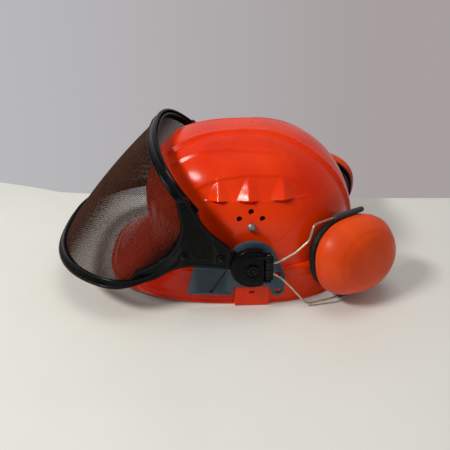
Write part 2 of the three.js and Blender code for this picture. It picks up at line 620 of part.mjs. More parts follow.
for (const [side, group] of [["l", left], ["r", right]]) {
  piece("side_rivet_" + side, rivetX(0, 89.5, 96.5, 102.9, 104.1), M.rivet, group);
  piece("adapter_" + side, makeAdapter(), M.blue, group);
  piece("pivot_pin_" + side, makePin(), M.black, group);
  piece("visor_arm_" + side, makeVisorArm(), M.black, group);
  piece("visor_rivet_front_" + side, rivetX(-70, 71, 116.4, 125.8, 127), M.black, group);
  piece("visor_rivet_rear_" + side, rivetX(-32.5, 67, 116.4, 125.8, 127), M.black, group);
  piece("hub_" + side, makeHub(), M.black, group);
  piece("carrier_pin_" + side, rodZ(...PINZ, OUT_X, OUT_Y, 1.6, 12), M.steel, group);
  piece("carrier_" + side, makeCarrier(), M.black, group);
  piece("wire_upper_" + side, makeWire(1), M.steel, group);
  piece("wire_lower_" + side, makeWire(-1), M.steel, group);
  const cup = new THREE.Group();
  cup.position.copy(CUP_C);
  cup.quaternion.setFromRotationMatrix(new THREE.Matrix4().makeBasis(T, U, N));
  group.add(cup);
  piece("sleeve_upper_" + side, makeSleeve(1), M.sleeve, cup);
  piece("sleeve_lower_" + side, makeSleeve(-1), M.sleeve, cup);
  piece("cup_" + side, makeBowl(), M.cup, cup);
  piece("cup_plate_" + side, makeCupPlate(), M.black, cup);
  piece("ear_cushion_" + side, makeCushion(), M.soft, cup);
  piece("ear_foam_" + side, makeFoam(), M.foam, cup);
}

export default root;
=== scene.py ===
import math

import bpy
import bmesh
import numpy as np
from mathutils import Matrix, Vector


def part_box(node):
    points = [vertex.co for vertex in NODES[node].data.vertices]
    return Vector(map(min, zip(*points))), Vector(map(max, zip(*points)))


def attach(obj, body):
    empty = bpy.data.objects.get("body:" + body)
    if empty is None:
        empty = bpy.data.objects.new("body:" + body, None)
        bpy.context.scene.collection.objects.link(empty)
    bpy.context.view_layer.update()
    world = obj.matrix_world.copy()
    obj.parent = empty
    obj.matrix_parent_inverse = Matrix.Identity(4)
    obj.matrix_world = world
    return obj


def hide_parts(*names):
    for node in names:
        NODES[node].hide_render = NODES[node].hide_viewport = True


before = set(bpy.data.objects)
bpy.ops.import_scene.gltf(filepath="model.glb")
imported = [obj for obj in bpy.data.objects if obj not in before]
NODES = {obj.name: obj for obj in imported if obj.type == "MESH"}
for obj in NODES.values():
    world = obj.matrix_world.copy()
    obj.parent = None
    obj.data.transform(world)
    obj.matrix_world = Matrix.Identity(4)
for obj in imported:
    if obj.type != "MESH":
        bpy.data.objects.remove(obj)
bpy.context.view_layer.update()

# ---------------------------------------------------------------- helpers
MM = 0.001
_lo, _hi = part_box("pivot_pin_l")
SY = (_lo.y + _hi.y) / 2 / MM          # the hub axis in the row frame, in millimetres
HZ = 55.0
RAD = math.pi / 180


def spow(v, p):
    return np.sign(v) * np.abs(v) ** p


def smooth(a, b, v):
    t = np.clip((v - a) / (b - a), 0, 1)
    return t * t * (3 - 2 * t)


def mix(a, b, t):
    return a + (b - a) * t


def unit(v):
    return v / np.maximum(np.linalg.norm(v, axis=-1, keepdims=True), 1e-12)


def make(name, verts, faces, mat, body, replaces=(), smooth_angle=35, side=1, fix=True):
    """A mesh object from millimetre points in the helmet's frame; side -1 mirrors it to the right."""
    v = np.array(verts, float).reshape(-1, 3) * [side, 1, 1]
    v = (v + [0, SY, 0]) * MM
    me = bpy.data.meshes.new(name)
    me.from_pydata(v.tolist(), [], [tuple(f) for f in faces])
    me.validate()
    me.update()
    o = bpy.data.objects.new(name, me)
    bpy.context.scene.collection.objects.link(o)
    if fix:
        bm = bmesh.new()
        bm.from_mesh(me)
        bmesh.ops.recalc_face_normals(bm, faces=bm.faces)
        if bm.calc_volume(signed=True) < 0:
            bmesh.ops.reverse_faces(bm, faces=bm.faces)
        bm.to_mesh(me)
        bm.free()
    finish_piece(o, mat, body, replaces, smooth_angle)
    return o


def finish_piece(o, mat, body, replaces=(), smooth_angle=35):
    me = o.data
    if smooth_angle is not None:
        me.polygons.foreach_set("use_smooth", np.ones(len(me.polygons), bool))
        me.set_sharp_from_angle(angle=smooth_angle * RAD)
    me.materials.clear()
    me.materials.append(mat)
    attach(o, body)
    if replaces:
        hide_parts(*replaces)
    return o


def apply_mods(o):
    dg = bpy.context.evaluated_depsgraph_get()
    dg.update()
    me = bpy.data.meshes.new_from_object(o.evaluated_get(dg))
    o.modifiers.clear()
    old = o.data
    o.data = me
    bpy.data.meshes.remove(old)
    return o


def temp(name, verts, faces, side=1):
    v = np.array(verts, float).reshape(-1, 3) * [side, 1, 1]
    v = (v + [0, SY, 0]) * MM
    me = bpy.data.meshes.new(name)
    me.from_pydata(v.tolist(), [], [tuple(f) for f in faces])
    me.update()
    o = bpy.data.objects.new(name, me)
    bpy.context.scene.collection.objects.link(o)
    bm = bmesh.new()
    bm.from_mesh(me)
    bmesh.ops.recalc_face_normals(bm, faces=bm.faces)
    if bm.calc_volume(signed=True) < 0:
        bmesh.ops.reverse_faces(bm, faces=bm.faces)
    bm.to_mesh(me)
    bm.free()
    return o


def boolean(o, tools, op="DIFFERENCE"):
    for t in tools:
        m = o.modifiers.new("b", "BOOLEAN")
        m.operation = op
        m.object = t
        try:
            m.solver = "MANIFOLD"
        except TypeError:
            m.solver = "EXACT"
    before = len(o.data.polygons)
    src = o.data.copy()
    apply_mods(o)
    if len(o.data.polygons) < before * 0.3:      # the quick solver refused: take the exact one
        o.data = src
        for t in tools:
            m = o.modifiers.new("b", "BOOLEAN")
            m.operation = op
            m.object = t
            m.solver = "EXACT"
        apply_mods(o)
    for t in tools:
        bpy.data.objects.remove(t)
    return o


def grid_faces(rows, cols, wrap=True, wrap_rows=False):
    f = []
    for i in range(rows if wrap_rows else rows - 1):
        i2 = (i + 1) % rows
        for j in range(cols if wrap else cols - 1):
            j2 = (j + 1) % cols
            f.append((i * cols + j, i * cols + j2, i2 * cols + j2, i2 * cols + j))
    return f


def loft(rings, closed=False, caps=True):
    """Rings of equal length joined in turn, round if closed, or ended by n-gons."""
    r = np.array(rings, float)
    m, n = r.shape[:2]
    f = grid_faces(m, n, True, closed)
    if not closed and caps:
        f.append(tuple(range(n)))
        f.append(tuple((m - 1) * n + j for j in range(n)))
    return r.reshape(-1, 3), f


def box_mesh(x0, x1, y0, y1, z0, z1):
    v = [(x, y, z) for x in (x0, x1) for y in (y0, y1) for z in (z0, z1)]
    f = [(0, 1, 3, 2), (4, 6, 7, 5), (0, 4, 5, 1), (2, 3, 7, 6), (0, 2, 6, 4), (1, 5, 7, 3)]
    return v, f


def cyl_x(x0, x1, y, z, r, n=32):
    a = np.arange(n) / n * 2 * math.pi
    rings = [[(x, y + r * math.cos(t), z + r * math.sin(t)) for t in a] for x in (x0, x1)]
    return loft(rings)


def bevel(o, width, segments=3, angle=30):
    m = o.modifiers.new("bev", "BEVEL")
    m.width = width * MM
    m.segments = segments
    m.limit_method = "ANGLE"
    m.angle_limit = angle * RAD
    m.harden_normals = False
    return apply_mods(o)


def join(objs):
    """Joins temporary objects into the first."""
    first = objs[0]
    bm = bmesh.new()
    for o in objs:
        bm.from_mesh(o.data)
    bm.to_mesh(first.data)
    bm.free()
    for o in objs[1:]:
        bpy.data.objects.remove(o)
    return first


def plate(x0, x1, outline, side=1, width=0.8, segments=3, holes=()):
    """A flat plate with rounded edges, its outline in (y, z)."""
    n = len(outline)
    v = [(x0, y, z) for y, z in outline] + [(x1, y, z) for y, z in outline]
    f = [tuple(range(n)), tuple(range(2 * n - 1, n - 1, -1))]
    f += [(j, (j + 1) % n, n + (j + 1) % n, n + j) for j in range(n)]
    o = temp("t_plate", v, f, side)
    if holes:
        tools = [temp("t_hole", *cyl_x(x0 - 2, x1 + 2, y, z, r), side) for y, z, r in holes]
        boolean(o, tools)
    if width:
        bevel(o, width, segments)
    return o


def round_outline(pts, r=2.0, k=5):
    """Rounds the corners of a closed outline."""
    out = []
    n = len(pts)
    for i in range(n):
        p = np.array(pts[i], float)
        a = np.array(pts[i - 1], float) - p
        b = np.array(pts[(i + 1) % n], float) - p
        la, lb = np.linalg.norm(a), np.linalg.norm(b)
        d = min(r, la * 0.45, lb * 0.45)
        a, b = p + a / la * d, p + b / lb * d
        for j in range(k):
            t = j / (k - 1)
            out.append(tuple((1 - t) ** 2 * a + 2 * t * (1 - t) * p + t * t * b))
    return out


# ---------------------------------------------------------------- materials
def new_mat(name):
    m = bpy.data.materials.new(name)
    m.use_nodes = True
    nt = m.node_tree
    b = nt.nodes["Principled BSDF"]
    return m, nt, b


def srgb(r, g, b):
    def c(v):
        v /= 255
        return v / 12.92 if v <= 0.04045 else ((v + 0.055) / 1.055) ** 2.4
    return (c(r), c(g), c(b), 1)


def node(nt, kind, **kw):
    n = nt.nodes.new(kind)
    for k, v in kw.items():
        setattr(n, k, v)
    return n


def coords(nt):
    return node(nt, "ShaderNodeTexCoord").outputs["Object"]


def noise(nt, vec, scale, detail=4, rough=0.55):
    n = node(nt, "ShaderNodeTexNoise")
    n.inputs["Scale"].default_value = scale
    n.inputs["Detail"].default_value = detail
    n.inputs["Roughness"].default_value = rough
    nt.links.new(vec, n.inputs["Vector"])
    return n


def ramp(nt, fac, stops):
    r = node(nt, "ShaderNodeValToRGB")
    e = r.color_ramp.elements
    while len(e) < len(stops):
        e.new(0.5)
    for el, (p, c) in zip(e, stops):
        el.position = p
        el.color = c if len(c) == 4 else (*c, 1)
    nt.links.new(fac, r.inputs["Fac"])
    return r.outputs["Color"]


def maprange(nt, fac, a, b, lo=0.0, hi=1.0):
    n = node(nt, "ShaderNodeMapRange")
    n.inputs["From Min"].default_value = lo
    n.inputs["From Max"].default_value = hi
    n.inputs["To Min"].default_value = a
    n.inputs["To Max"].default_value = b
    nt.links.new(fac, n.inputs["Value"])
    return n.outputs["Result"]


def mixc(nt, fac, a, b):
    n = node(nt, "ShaderNodeMix", data_type="RGBA")
    if isinstance(fac, (int, float)):
        n.inputs[0].default_value = fac
    else:
        nt.links.new(fac, n.inputs[0])
    for i, c in ((6, a), (7, b)):
        if isinstance(c, tuple):
            n.inputs[i].default_value = c
        else:
            nt.links.new(c, n.inputs[i])
    return n.outputs[2]


def bump(nt, height, strength, distance, normal=None):
    n = node(nt, "ShaderNodeBump")
    n.inputs["Strength"].default_value = strength
    n.inputs["Distance"].default_value = distance
    nt.links.new(height, n.inputs["Height"])
    if normal is not None:
        nt.links.new(normal, n.inputs["Normal"])
    return n.outputs["Normal"]


def math_node(nt, op, a, b=None):
    n = node(nt, "ShaderNodeMath", operation=op)
    for i, x in enumerate((a, b)):
        if x is None:
            continue
        if isinstance(x, (int, float)):
            n.inputs[i].default_value = x
        else:
            nt.links.new(x, n.inputs[i])
    return n.outputs[0]


def worn_plastic(name, base, light, dark, rough, coat=0.0, scratch=0.35, grain=0.0, spec=0.5, hollow_shade=0.25):
    """Moulded plastic: slight colour drift, fine scratches, scuffs, painted shade in the low places, and edges
    lightened by wear and a painted highlight.
    """
    m, nt, b = new_mat(name)
    co = coords(nt)
    big = noise(nt, co, 14, 3).outputs["Fac"]
    col = mixc(nt, maprange(nt, big, 0, 1, 0.35, 0.65), base, dark)
    mid = noise(nt, co, 55, 5, 0.6).outputs["Fac"]
    col = mixc(nt, maprange(nt, mid, 0, 0.16, 0.45, 0.8), col, light)
    # fine scratches: stretched noise in two directions
    def scr(rx, rz, scale):
        mp = node(nt, "ShaderNodeMapping")
        mp.inputs["Rotation"].default_value = (rx, 0.3, rz)
        mp.inputs["Scale"].default_value = (1, 26, 26)
        nt.links.new(co, mp.inputs["Vector"])
        return noise(nt, mp.outputs["Vector"], scale, 2, 0.5).outputs["Fac"]
    s1, s2 = scr(0.5, 0.9, 34), scr(-0.4, 2.3, 40)
    sc = math_node(nt, "MAXIMUM", maprange(nt, s1, 0, 1, 0.70, 0.74), maprange(nt, s2, 0, 1, 0.70, 0.74))
    col = mixc(nt, math_node(nt, "MULTIPLY", sc, scratch * 0.5), col, light)
    # edges are lightened, partly by wear and partly as a painted highlight; hollows are darkened with painted shade
    geo = node(nt, "ShaderNodeNewGeometry")
    # painted highlight, partly wear: convex edges are lightened towards the light colour
    edge = maprange(nt, geo.outputs["Pointiness"], 0, 1, 0.53, 0.60)
    col = mixc(nt, math_node(nt, "MULTIPLY", edge, 0.35), col, light)
    # painted shade: hollows found by pointiness are darkened towards the dark colour
    hollow = maprange(nt, geo.outputs["Pointiness"], 1, 0, 0.40, 0.485)
    col = mixc(nt, math_node(nt, "MULTIPLY", hollow, hollow_shade), col, dark)
    nt.links.new(col, b.inputs["Base Color"])
    rg = math_node(nt, "ADD", maprange(nt, mid, rough - 0.06, rough + 0.12, 0.3, 0.75), math_node(nt, "MULTIPLY", sc, 0.25))
    nt.links.new(rg, b.inputs["Roughness"])
    b.inputs["Specular IOR Level"].default_value = spec
    b.inputs["Coat Weight"].default_value = coat
    b.inputs["Coat Roughness"].default_value = 0.12
    fine = noise(nt, co, 900 if not grain else 1500, 3, 0.6).outputs["Fac"]
    nrm = bump(nt, fine, 0.04 + grain, 0.00025)
    nrm = bump(nt, sc, 0.12, 0.0002, nrm)
    wav = noise(nt, co, 22, 2, 0.4).outputs["Fac"]
    nrm = bump(nt, wav, 0.05, 0.002, nrm)
    nt.links.new(nrm, b.inputs["Normal"])
    return m


# In each call below, the hollow-darkening amount is painted shade, not dust.
MAT = {}
MAT["shell"] = worn_plastic("shell_plastic", srgb(254, 62, 2), srgb(254, 84, 16), srgb(222, 36, 0), 0.18, coat=0.0, scratch=0.18, grain=-0.025, hollow_shade=0.45, spec=0.26)
MAT["cup"] = worn_plastic("cup_plastic", srgb(234, 76, 14), srgb(240, 98, 36), srgb(192, 48, 6), 0.36, coat=0.0, scratch=0.2, grain=0.05, hollow_shade=0.4, spec=0.24)
MAT["black"] = worn_plastic("black_plastic", srgb(7, 7, 8), srgb(52, 54, 56), srgb(4, 4, 5), 0.24, coat=0.0, scratch=0.3, grain=0.03, hollow_shade=0.2, spec=0.09)
MAT["blue"] = worn_plastic("blue_plastic", srgb(56, 80, 98), srgb(92, 112, 126), srgb(32, 46, 58), 0.42, scratch=0.35, grain=0.06, hollow_shade=0.3, spec=0.3)
MAT["sleeve"] = worn_plastic("sleeve_plastic", srgb(52, 58, 66), srgb(92, 98, 106), srgb(32, 36, 42), 0.5, scratch=0.35, grain=0.08, hollow_shade=0.3)
MAT["band"] = worn_plastic("band_plastic", srgb(34, 37, 41), srgb(82, 86, 90), srgb(18, 20, 22), 0.45, scratch=0.3, grain=0.06, hollow_shade=0.2)


def metal(name, base, light, rough, drawn=False):
    m, nt, b = new_mat(name)
    co = coords(nt)
    n1 = noise(nt, co, 160, 5, 0.65).outputs["Fac"]
    n2 = noise(nt, co, 1400, 3, 0.6).outputs["Fac"]
    col = mixc(nt, maprange(nt, n1, 0, 1, 0.35, 0.7), base, light)
    tarn = noise(nt, co, 60, 4, 0.7).outputs["Fac"]
    col = mixc(nt, maprange(nt, tarn, 0, 0.45, 0.55, 0.75), col, srgb(120, 110, 98))
    nt.links.new(col, b.inputs["Base Color"])
    nt.links.new(maprange(nt, n1, rough - 0.07, rough + 0.12), b.inputs["Roughness"])
    b.inputs["Metallic"].default_value = 0.9
    nt.links.new(bump(nt, n2, 0.12, 0.0002), b.inputs["Normal"])
    return m


MAT["steel"] = metal("spring_steel", srgb(182, 168, 148), srgb(214, 204, 188), 0.36)
MAT["rivet"] = metal("rivet_metal", srgb(150, 146, 154), srgb(196, 192, 200), 0.46)


def wire_mat():
    m, nt, b = new_mat("visor_wire")
    co = coords(nt)
    n1 = noise(nt, co, 300, 4, 0.6).outputs["Fac"]
    n2 = noise(nt, co, 26, 3, 0.6).outputs["Fac"]
    col = mixc(nt, maprange(nt, n1, 0, 1, 0.3, 0.7), srgb(46, 24, 15), srgb(84, 50, 34))
    col = mixc(nt, maprange(nt, n2, 0, 0.6, 0.5, 0.8), col, srgb(44, 25, 17))
    nt.links.new(col, b.inputs["Base Color"])
    nt.links.new(maprange(nt, n1, 0.32, 0.55), b.inputs["Roughness"])
    b.inputs["Metallic"].default_value = 0.1
    b.inputs["Specular IOR Level"].default_value = 0.2
    nt.links.new(bump(nt, n1, 0.1, 0.0001), b.inputs["Normal"])
    return m


MAT["wire"] = wire_mat()


def fabric(name, a, c, scale, rough=0.85, sheen=0.25, twill=True):
    """Woven or knitted cloth whose threads come from two crossed waves in the object's own space."""
    m, nt, b = new_mat(name)
    co = coords(nt)
    w1 = node(nt, "ShaderNodeTexWave", wave_type="BANDS", bands_direction="DIAGONAL")
    w1.inputs["Scale"].default_value = scale
    w1.inputs["Distortion"].default_value = 0.6
    w1.inputs["Detail"].default_value = 1
    nt.links.new(co, w1.inputs["Vector"])
    w2 = node(nt, "ShaderNodeTexWave", wave_type="BANDS", bands_direction="Z")
    w2.inputs["Scale"].default_value = scale
    w2.inputs["Distortion"].default_value = 0.6
    nt.links.new(co, w2.inputs["Vector"])
    h = math_node(nt, "MULTIPLY", w1.outputs["Fac"], w2.outputs["Fac"])
    n1 = noise(nt, co, 50, 4).outputs["Fac"]
    col = mixc(nt, h, a, c)
    col = mixc(nt, maprange(nt, n1, 0, 0.4, 0.45, 0.75), col, c)
    nt.links.new(col, b.inputs["Base Color"])
    nt.links.new(maprange(nt, n1, rough - 0.08, rough + 0.08), b.inputs["Roughness"])
    b.inputs["Sheen Weight"].default_value = sheen
    b.inputs["Sheen Roughness"].default_value = 0.5
    nt.links.new(bump(nt, h, 0.45, 0.0004), b.inputs["Normal"])
    return m


MAT["webbing"] = fabric("strap_webbing", srgb(30, 33, 37), srgb(74, 80, 86), 420)
MAT["sweat"] = fabric("sweatband_cloth", srgb(26, 27, 30), srgb(58, 60, 64), 520, 0.9, 0.3)


def leatherette(name, a, c, rough=0.48):
    m, nt, b = new_mat(name)
    co = coords(nt)
    v = node(nt, "ShaderNodeTexVoronoi", feature="DISTANCE_TO_EDGE")
    v.inputs["Scale"].default_value = 520
    nt.links.new(co, v.inputs["Vector"])
    cell = maprange(nt, v.outputs["Distance"], 0, 1, 0.0, 0.12)
    n1 = noise(nt, co, 38, 4).outputs["Fac"]
    col = mixc(nt, maprange(nt, n1, 0, 1, 0.35, 0.65), a, c)
    nt.links.new(col, b.inputs["Base Color"])
    b.inputs["Specular IOR Level"].default_value = 0.28
    nt.links.new(maprange(nt, n1, rough - 0.08, rough + 0.12), b.inputs["Roughness"])
    nrm = bump(nt, cell, 0.25, 0.0002)
    wr = noise(nt, co, 110, 3, 0.5).outputs["Fac"]
    nrm = bump(nt, wr, 0.3, 0.0008, nrm)
    nt.links.new(nrm, b.inputs["Normal"])
    return m


MAT["cushion"] = leatherette("cushion_vinyl", srgb(12, 12, 13), srgb(27, 27, 29), 0.54)


def foam_mat():
    m, nt, b = new_mat("ear_foam_material")
    co = coords(nt)
    v = node(nt, "ShaderNodeTexVoronoi", feature="F1")
    v.inputs["Scale"].default_value = 700
    nt.links.new(co, v.inputs["Vector"])
    d = maprange(nt, v.outputs["Distance"], 0, 1, 0.1, 0.6)
    nt.links.new(mixc(nt, d, srgb(36, 37, 39), srgb(78, 80, 84)), b.inputs["Base Color"])
    nt.links.new(maprange(nt, d, 0.98, 0.86), b.inputs["Roughness"])
    nt.links.new(bump(nt, d, 0.7, 0.0006), b.inputs["Normal"])
    return m


MAT["foam"] = foam_mat()

# ---------------------------------------------------------------- shell
DOME_A, DOME_BF, DOME_BR, DOME_YC, DOME_N = 102.0, 123.3, 116.7, 8.0, 2.3
DOME_H, DOME_Z0 = 163.5, 42.0
RIM_A, RIM_BR, RIM_BF = 110.0, 122.7, 174.0
PEAK_Z, PEAK_DROP, PEAK_N, WALL = 13.0, 7.5, 3.1, 2.8


def plan(phi, a, bf, br, n):
    return a * spow(np.cos(phi), 2 / n), DOME_YC + np.where(np.sin(phi) < 0, bf, br) * spow(np.sin(phi), 2 / n)


def shell_outer(phi, s):
    phi, s = np.broadcast_arrays(np.asarray(phi, float), np.asarray(s, float))
    wf, wr = smooth(0, 1, -np.sin(phi)), smooth(0, 1, np.sin(phi))
    pz = 2.66 + (3.7 - 2.66) * wf + (2.1 - 2.66) * wr
    kk = 0.8 + (0.68 - 0.8) * wf + (0.87 - 0.8) * wr
    th = np.clip(s / 0.72, 0, 1) * math.pi / 2
    k = np.sin(th) ** kk
    x, y = plan(phi, DOME_A, DOME_BF, DOME_BR, DOME_N)
    xd, yd = x * k, DOME_YC + (y - DOME_YC) * k
    zd = DOME_Z0 + (DOME_H - DOME_Z0) * np.maximum(0, np.cos(th)) ** (2 / pz)
    t = np.clip((s - 0.72) / 0.28, 0, 1)
    nr = mix(DOME_N, PEAK_N, smooth(0, 0.6, -np.sin(phi)))
    x1, y1 = plan(phi, RIM_A, RIM_BF, RIM_BR, nr)
    w = smooth(0.35, 0.9, -np.sin(phi))
    q = np.clip(t / 0.3, 0, 1) * math.pi / 2
    fs = np.where(t < 0.3, 0.6 * np.sin(q), mix(0.6, 1, (t - 0.3) / 0.7))
    gs = np.where(t < 0.3, 0.14 * (1 - np.cos(q)), mix(0.14, 1, (t - 0.3) / 0.7))
    f, g = mix(fs, t, w), mix(gs, t ** 1.15, w)
    zr = smooth(30, 130, -y1) * (PEAK_Z - PEAK_DROP * (x1 / 106) ** 2)
    band = np.stack([mix(x, x1, f), mix(y, y1, f), mix(DOME_Z0, zr, g)], -1)
    dome = np.stack([xd, yd, zd], -1)
    return np.where((s <= 0.72)[..., None], dome, band)


def shell_normal(phi, s):
    e = 1e-3
    a = shell_outer(phi + e, s) - shell_outer(phi - e, s)
    b = shell_outer(phi, np.minimum(1, s + e)) - shell_outer(phi, np.maximum(1e-4, s - e))
    n = unit(np.cross(a, b))
    p = shell_outer(phi, s)
    out = np.stack([p[..., 0], p[..., 1] - DOME_YC, np.full(p.shape[:-1], 40.0)], -1)
    return n * np.where((n * out).sum(-1) < 0, -1, 1)[..., None]


# half width of the raised crown band along the helmet
CROWN_Y = [-123, -112, -95, -78, -62, -46, -30, -13, 3.5, 27, 50, 62, 73.5, 90, 105, 118, 125]
CROWN_X = [38, 37, 34, 31, 27.5, 25, 23.5, 22.5, 22.5, 25, 31, 35, 38.5, 39.5, 40, 39, 38.5]
STEP_Y = [-118, -100, -81, -68, -52.6, -37, -21.6, 8.4, 32, 46, 63, 90]
STEP_X = [60, 56, 51, 50, 50.5, 51, 52, 54.7, 57.3, 62, 66, 70]
SCOOPS = [(-32.4, 12.5), (-2.0, 13.0), (33.0, 13.5)]


def shell_relief(P, s):
    """How far the moulded features stand out of the plain dome, in millimetres."""
    ax, y, z = np.abs(P[..., 0]), P[..., 1], P[..., 2]
    d = np.zeros_like(z)
    on_dome = 1 - smooth(0.66, 0.74, s)
    # raised crown band: a rounded step with a fine groove at its foot
    xe = np.interp(y, CROWN_Y, CROWN_X)
    e = (xe - ax)
    low = 1 - smooth(42, 66, 108 - z)
    d += on_dome * (2.6 * smooth(-2.2, 2.2, e) + 0.7 * np.exp(-((e - 2.4) / 1.7) ** 2) - 0.75 * np.exp(-((e + 3.4) / 1.4) ** 2)) * mix(0.45, 1, low)
    # second, softer step that fades to the rear
    xs = np.interp(y, STEP_Y, STEP_X)
    e2 = xs - ax
    fade = 1 - smooth(10, 62, y)
    d += on_dome * fade * (1.7 * smooth(-3.6, 2.4, e2) + 0.35 * np.exp(-((e2 - 2) / 2.2) ** 2)) * smooth(60, 95, z)
    # the panel that the scoops stand in
    lat = smooth(70, 82, ax)
    top = np.interp(y, [-62, -50, -41, -28, -8, 12, 26, 41, 52, 64], [119, 127, 131, 134.5, 137, 137, 136, 133.5, 127, 117])
    span = smooth(-64, -52, y) * (1 - smooth(54, 66, y))
    dz = top - z
    panel = smooth(-0.6, 2.2, dz) * (1 - smooth(10, 24, dz))
    d -= on_dome * lat * span * 1.5 * panel
    # a low ledge along the panel's foot
    foot = np.exp(-((z - 113.6) / 1.0) ** 2) * smooth(-50, -46, y) * (1 - smooth(56, 62, y))
    d += on_dome * lat * 0.55 * foot
    # scoops: ridged tents, cut off square at the foot, with a slit under each
    for yc, hw in SCOOPS:
        h = np.clip((z - 114.6) / 21.5, 0, 1)
        w = hw * (1 - h) ** 0.75 + 0.6
        u = np.abs(y - yc) / w
        tent = np.clip(1 - u, 0, 1)
        ridge = tent ** 1.12 * (1 - h) ** 0.85
        foot_cut = smooth(114.0, 115.3, z + 0.9 * (1 - np.clip(u, 0, 1) ** 2))
        d += on_dome * lat * 5.6 * ridge * foot_cut
        v = (y - yc) / (hw * 0.86)
        slit_top = 114.2 - 0.2 * v * v
        slit_bot = 114.2 - 3.2 * (1 - v * v)
        inside = (np.abs(v) < 1) * smooth(0, 0.7, slit_top - z) * smooth(0, 0.9, z - slit_bot)
        d -= on_dome * lat * 2.0 * inside
    # gutter and rim of the lower band
    t = np.clip((s - 0.72) / 0.28, 0, 1)
    side_w = 1 - smooth(0.35, 0.9, -(y - DOME_YC) / 150)
    d += 0.9 * smooth(0.955, 0.985, t) * (s > 0.72)                                  # rolled edge
    d -= 0.5 * np.exp(-((t - 0.93) / 0.018) ** 2) * (s > 0.72)
    rear = smooth(38, 60, y)
    for c in (0.42, 0.60, 0.78):                                                     # ribs along the rear band
        d -= 0.7 * rear * np.exp(-((t - c) / 0.03) ** 2) * (s > 0.72)
    # crease where the dome meets the peak, and a raised border on the peak
    front = smooth(60, 110, -y)
    d -= 0.6 * front * np.exp(-((t - 0.06) / 0.03) ** 2) * (s > 0.72)
    d += 0.8 * front * np.exp(-((t - 0.86) / 0.05) ** 2) * (s > 0.72)
    return d


def build_shell():
    NP = 448
    u = np.arange(NP) / NP * 2 * math.pi + 1e-4
    th = u - 0.16 * np.sin(2 * u)
    phi = np.arctan2(spow(np.sin(th), DOME_N / 2), spow(np.cos(th), DOME_N / 2))
    grid = np.linspace(0, 1, 2001)
    dens = 1 + 1.3 * (smooth(0.30, 0.34, grid) * (1 - smooth(0.50, 0.54, grid))) + 0.8 * (grid > 0.97) + 0.5 * (1 - smooth(0, 0.06, grid))
    cum = np.cumsum(dens)
    cum = (cum - cum[0]) / (cum[-1] - cum[0])
    rows_s = np.interp(np.linspace(0, 1, 212), cum, grid)[1:]
    PH, SS = np.meshgrid(phi, rows_s)
    P = shell_outer(PH, SS)
    N = shell_normal(PH, SS)
    level = unit(np.stack([N[..., 0], N[..., 1], np.zeros(N.shape[:-1])], -1))
    wpk = smooth(0.35, 0.9, -np.sin(PH))
    down = level + (np.array([0, 0, 1.0]) - level) * (wpk * 0.92)[..., None]
    band_n = unit(down)
    mixn = smooth(0.715, 0.74, SS)[..., None]
    Nn = unit(N * (1 - mixn) + band_n * mixn)
    outer = P + Nn * shell_relief(P, SS)[..., None]
    # inner skin: coarser, offset by the wall
    irows = np.unique(np.concatenate([np.linspace(0.03, 0.72, 26), np.linspace(0.74, 1, 16)]))
    PI, SI = np.meshgrid(phi, irows)
    Q = shell_outer(PI, SI)
    NI = shell_normal(PI, SI)
    leveli = unit(np.stack([NI[..., 0], NI[..., 1], np.zeros(NI.shape[:-1])], -1))
    wi = smooth(0.35, 0.9, -np.sin(PI))
    bi = unit(leveli + (np.array([0, 0, 1.0]) - leveli) * (wi * 0.92)[..., None])
    NI = np.where((SI > 0.72)[..., None], bi, NI)
    inner = Q - NI * WALL
    last = SI == 1
    zz = mix(Q[..., 2], np.maximum(0, Q[..., 2] - WALL), wi)
    inner[..., 2] = np.where(last, zz, inner[..., 2])
    # rounded lip between the two skins
    lipo, lipi = outer[-1].copy(), inner[-1].copy()
    outer[-1] = lipo * 0.86 + lipi * 0.14
    outer[-1][:, 2] = lipo[:, 2]
    outer[..., 2] = np.maximum(outer[..., 2], 0)
    inner[..., 2] = np.maximum(inner[..., 2], 0)
    V = np.concatenate([outer.reshape(-1, 3), inner[::-1].reshape(-1, 3), [[0, DOME_YC, DOME_H + 3.1], [0, DOME_YC, DOME_H - WALL]]])
    R = outer.shape[0] + inner.shape[0]
    F = grid_faces(R, NP)
    top, bot = R * NP, R * NP + 1
    F += [(top, (j + 1) % NP, j) for j in range(NP)]
    F += [(bot, (R - 1) * NP + j, (R - 1) * NP + (j + 1) % NP) for j in range(NP)]
    o = temp("shell_fine", V, F)
    tools = []
    for sd in (1, -1):
        for y, z, r in ((0, 104, 3.0), (-12, 97, 3.0), (11.5, 97, 3.0), (0, 89.5, 2.2)):
            tools.append(temp("t_v", *cyl_x(80, 114, y, z, r, 40), sd))
    boolean(o, tools)
    # side pockets with their slot and latch notch
    for sd in (1, -1):
        b = temp("t_p", *box_mesh(103.5, 114, -18.5, 18.5, 0.05, 25), sd)
        bevel(b, 0.9, 3)
        boolean(b, [temp("t_s", *box_mesh(108.6, 111.8, -14.2, 14.2, -1, 26), sd),
                    temp("t_n", *box_mesh(111, 116, -2.8, 2.8, 15.8, 18.8), sd)])
        # the pocket joins the shell, and the slot is cut once more through both
        boolean(o, [b], "UNION")
        boolean(o, [temp("t_s2", *box_mesh(108.6, 111.8, -14.2, 14.2, -1, 26), sd)])
    o.name = "shell_visual"
    finish_piece(o, MAT["shell"], "helmet", ("shell",), 40)
    return o


shell = build_shell()

# ---------------------------------------------------------------- visor
UP = dict(x=119.6, r0=60, r1=151.0, n=2.5, a=48.2, dip=0)
LO = dict(x=136, r0=60, r1=216.5, n=2.6, a=-2.8, dip=8)


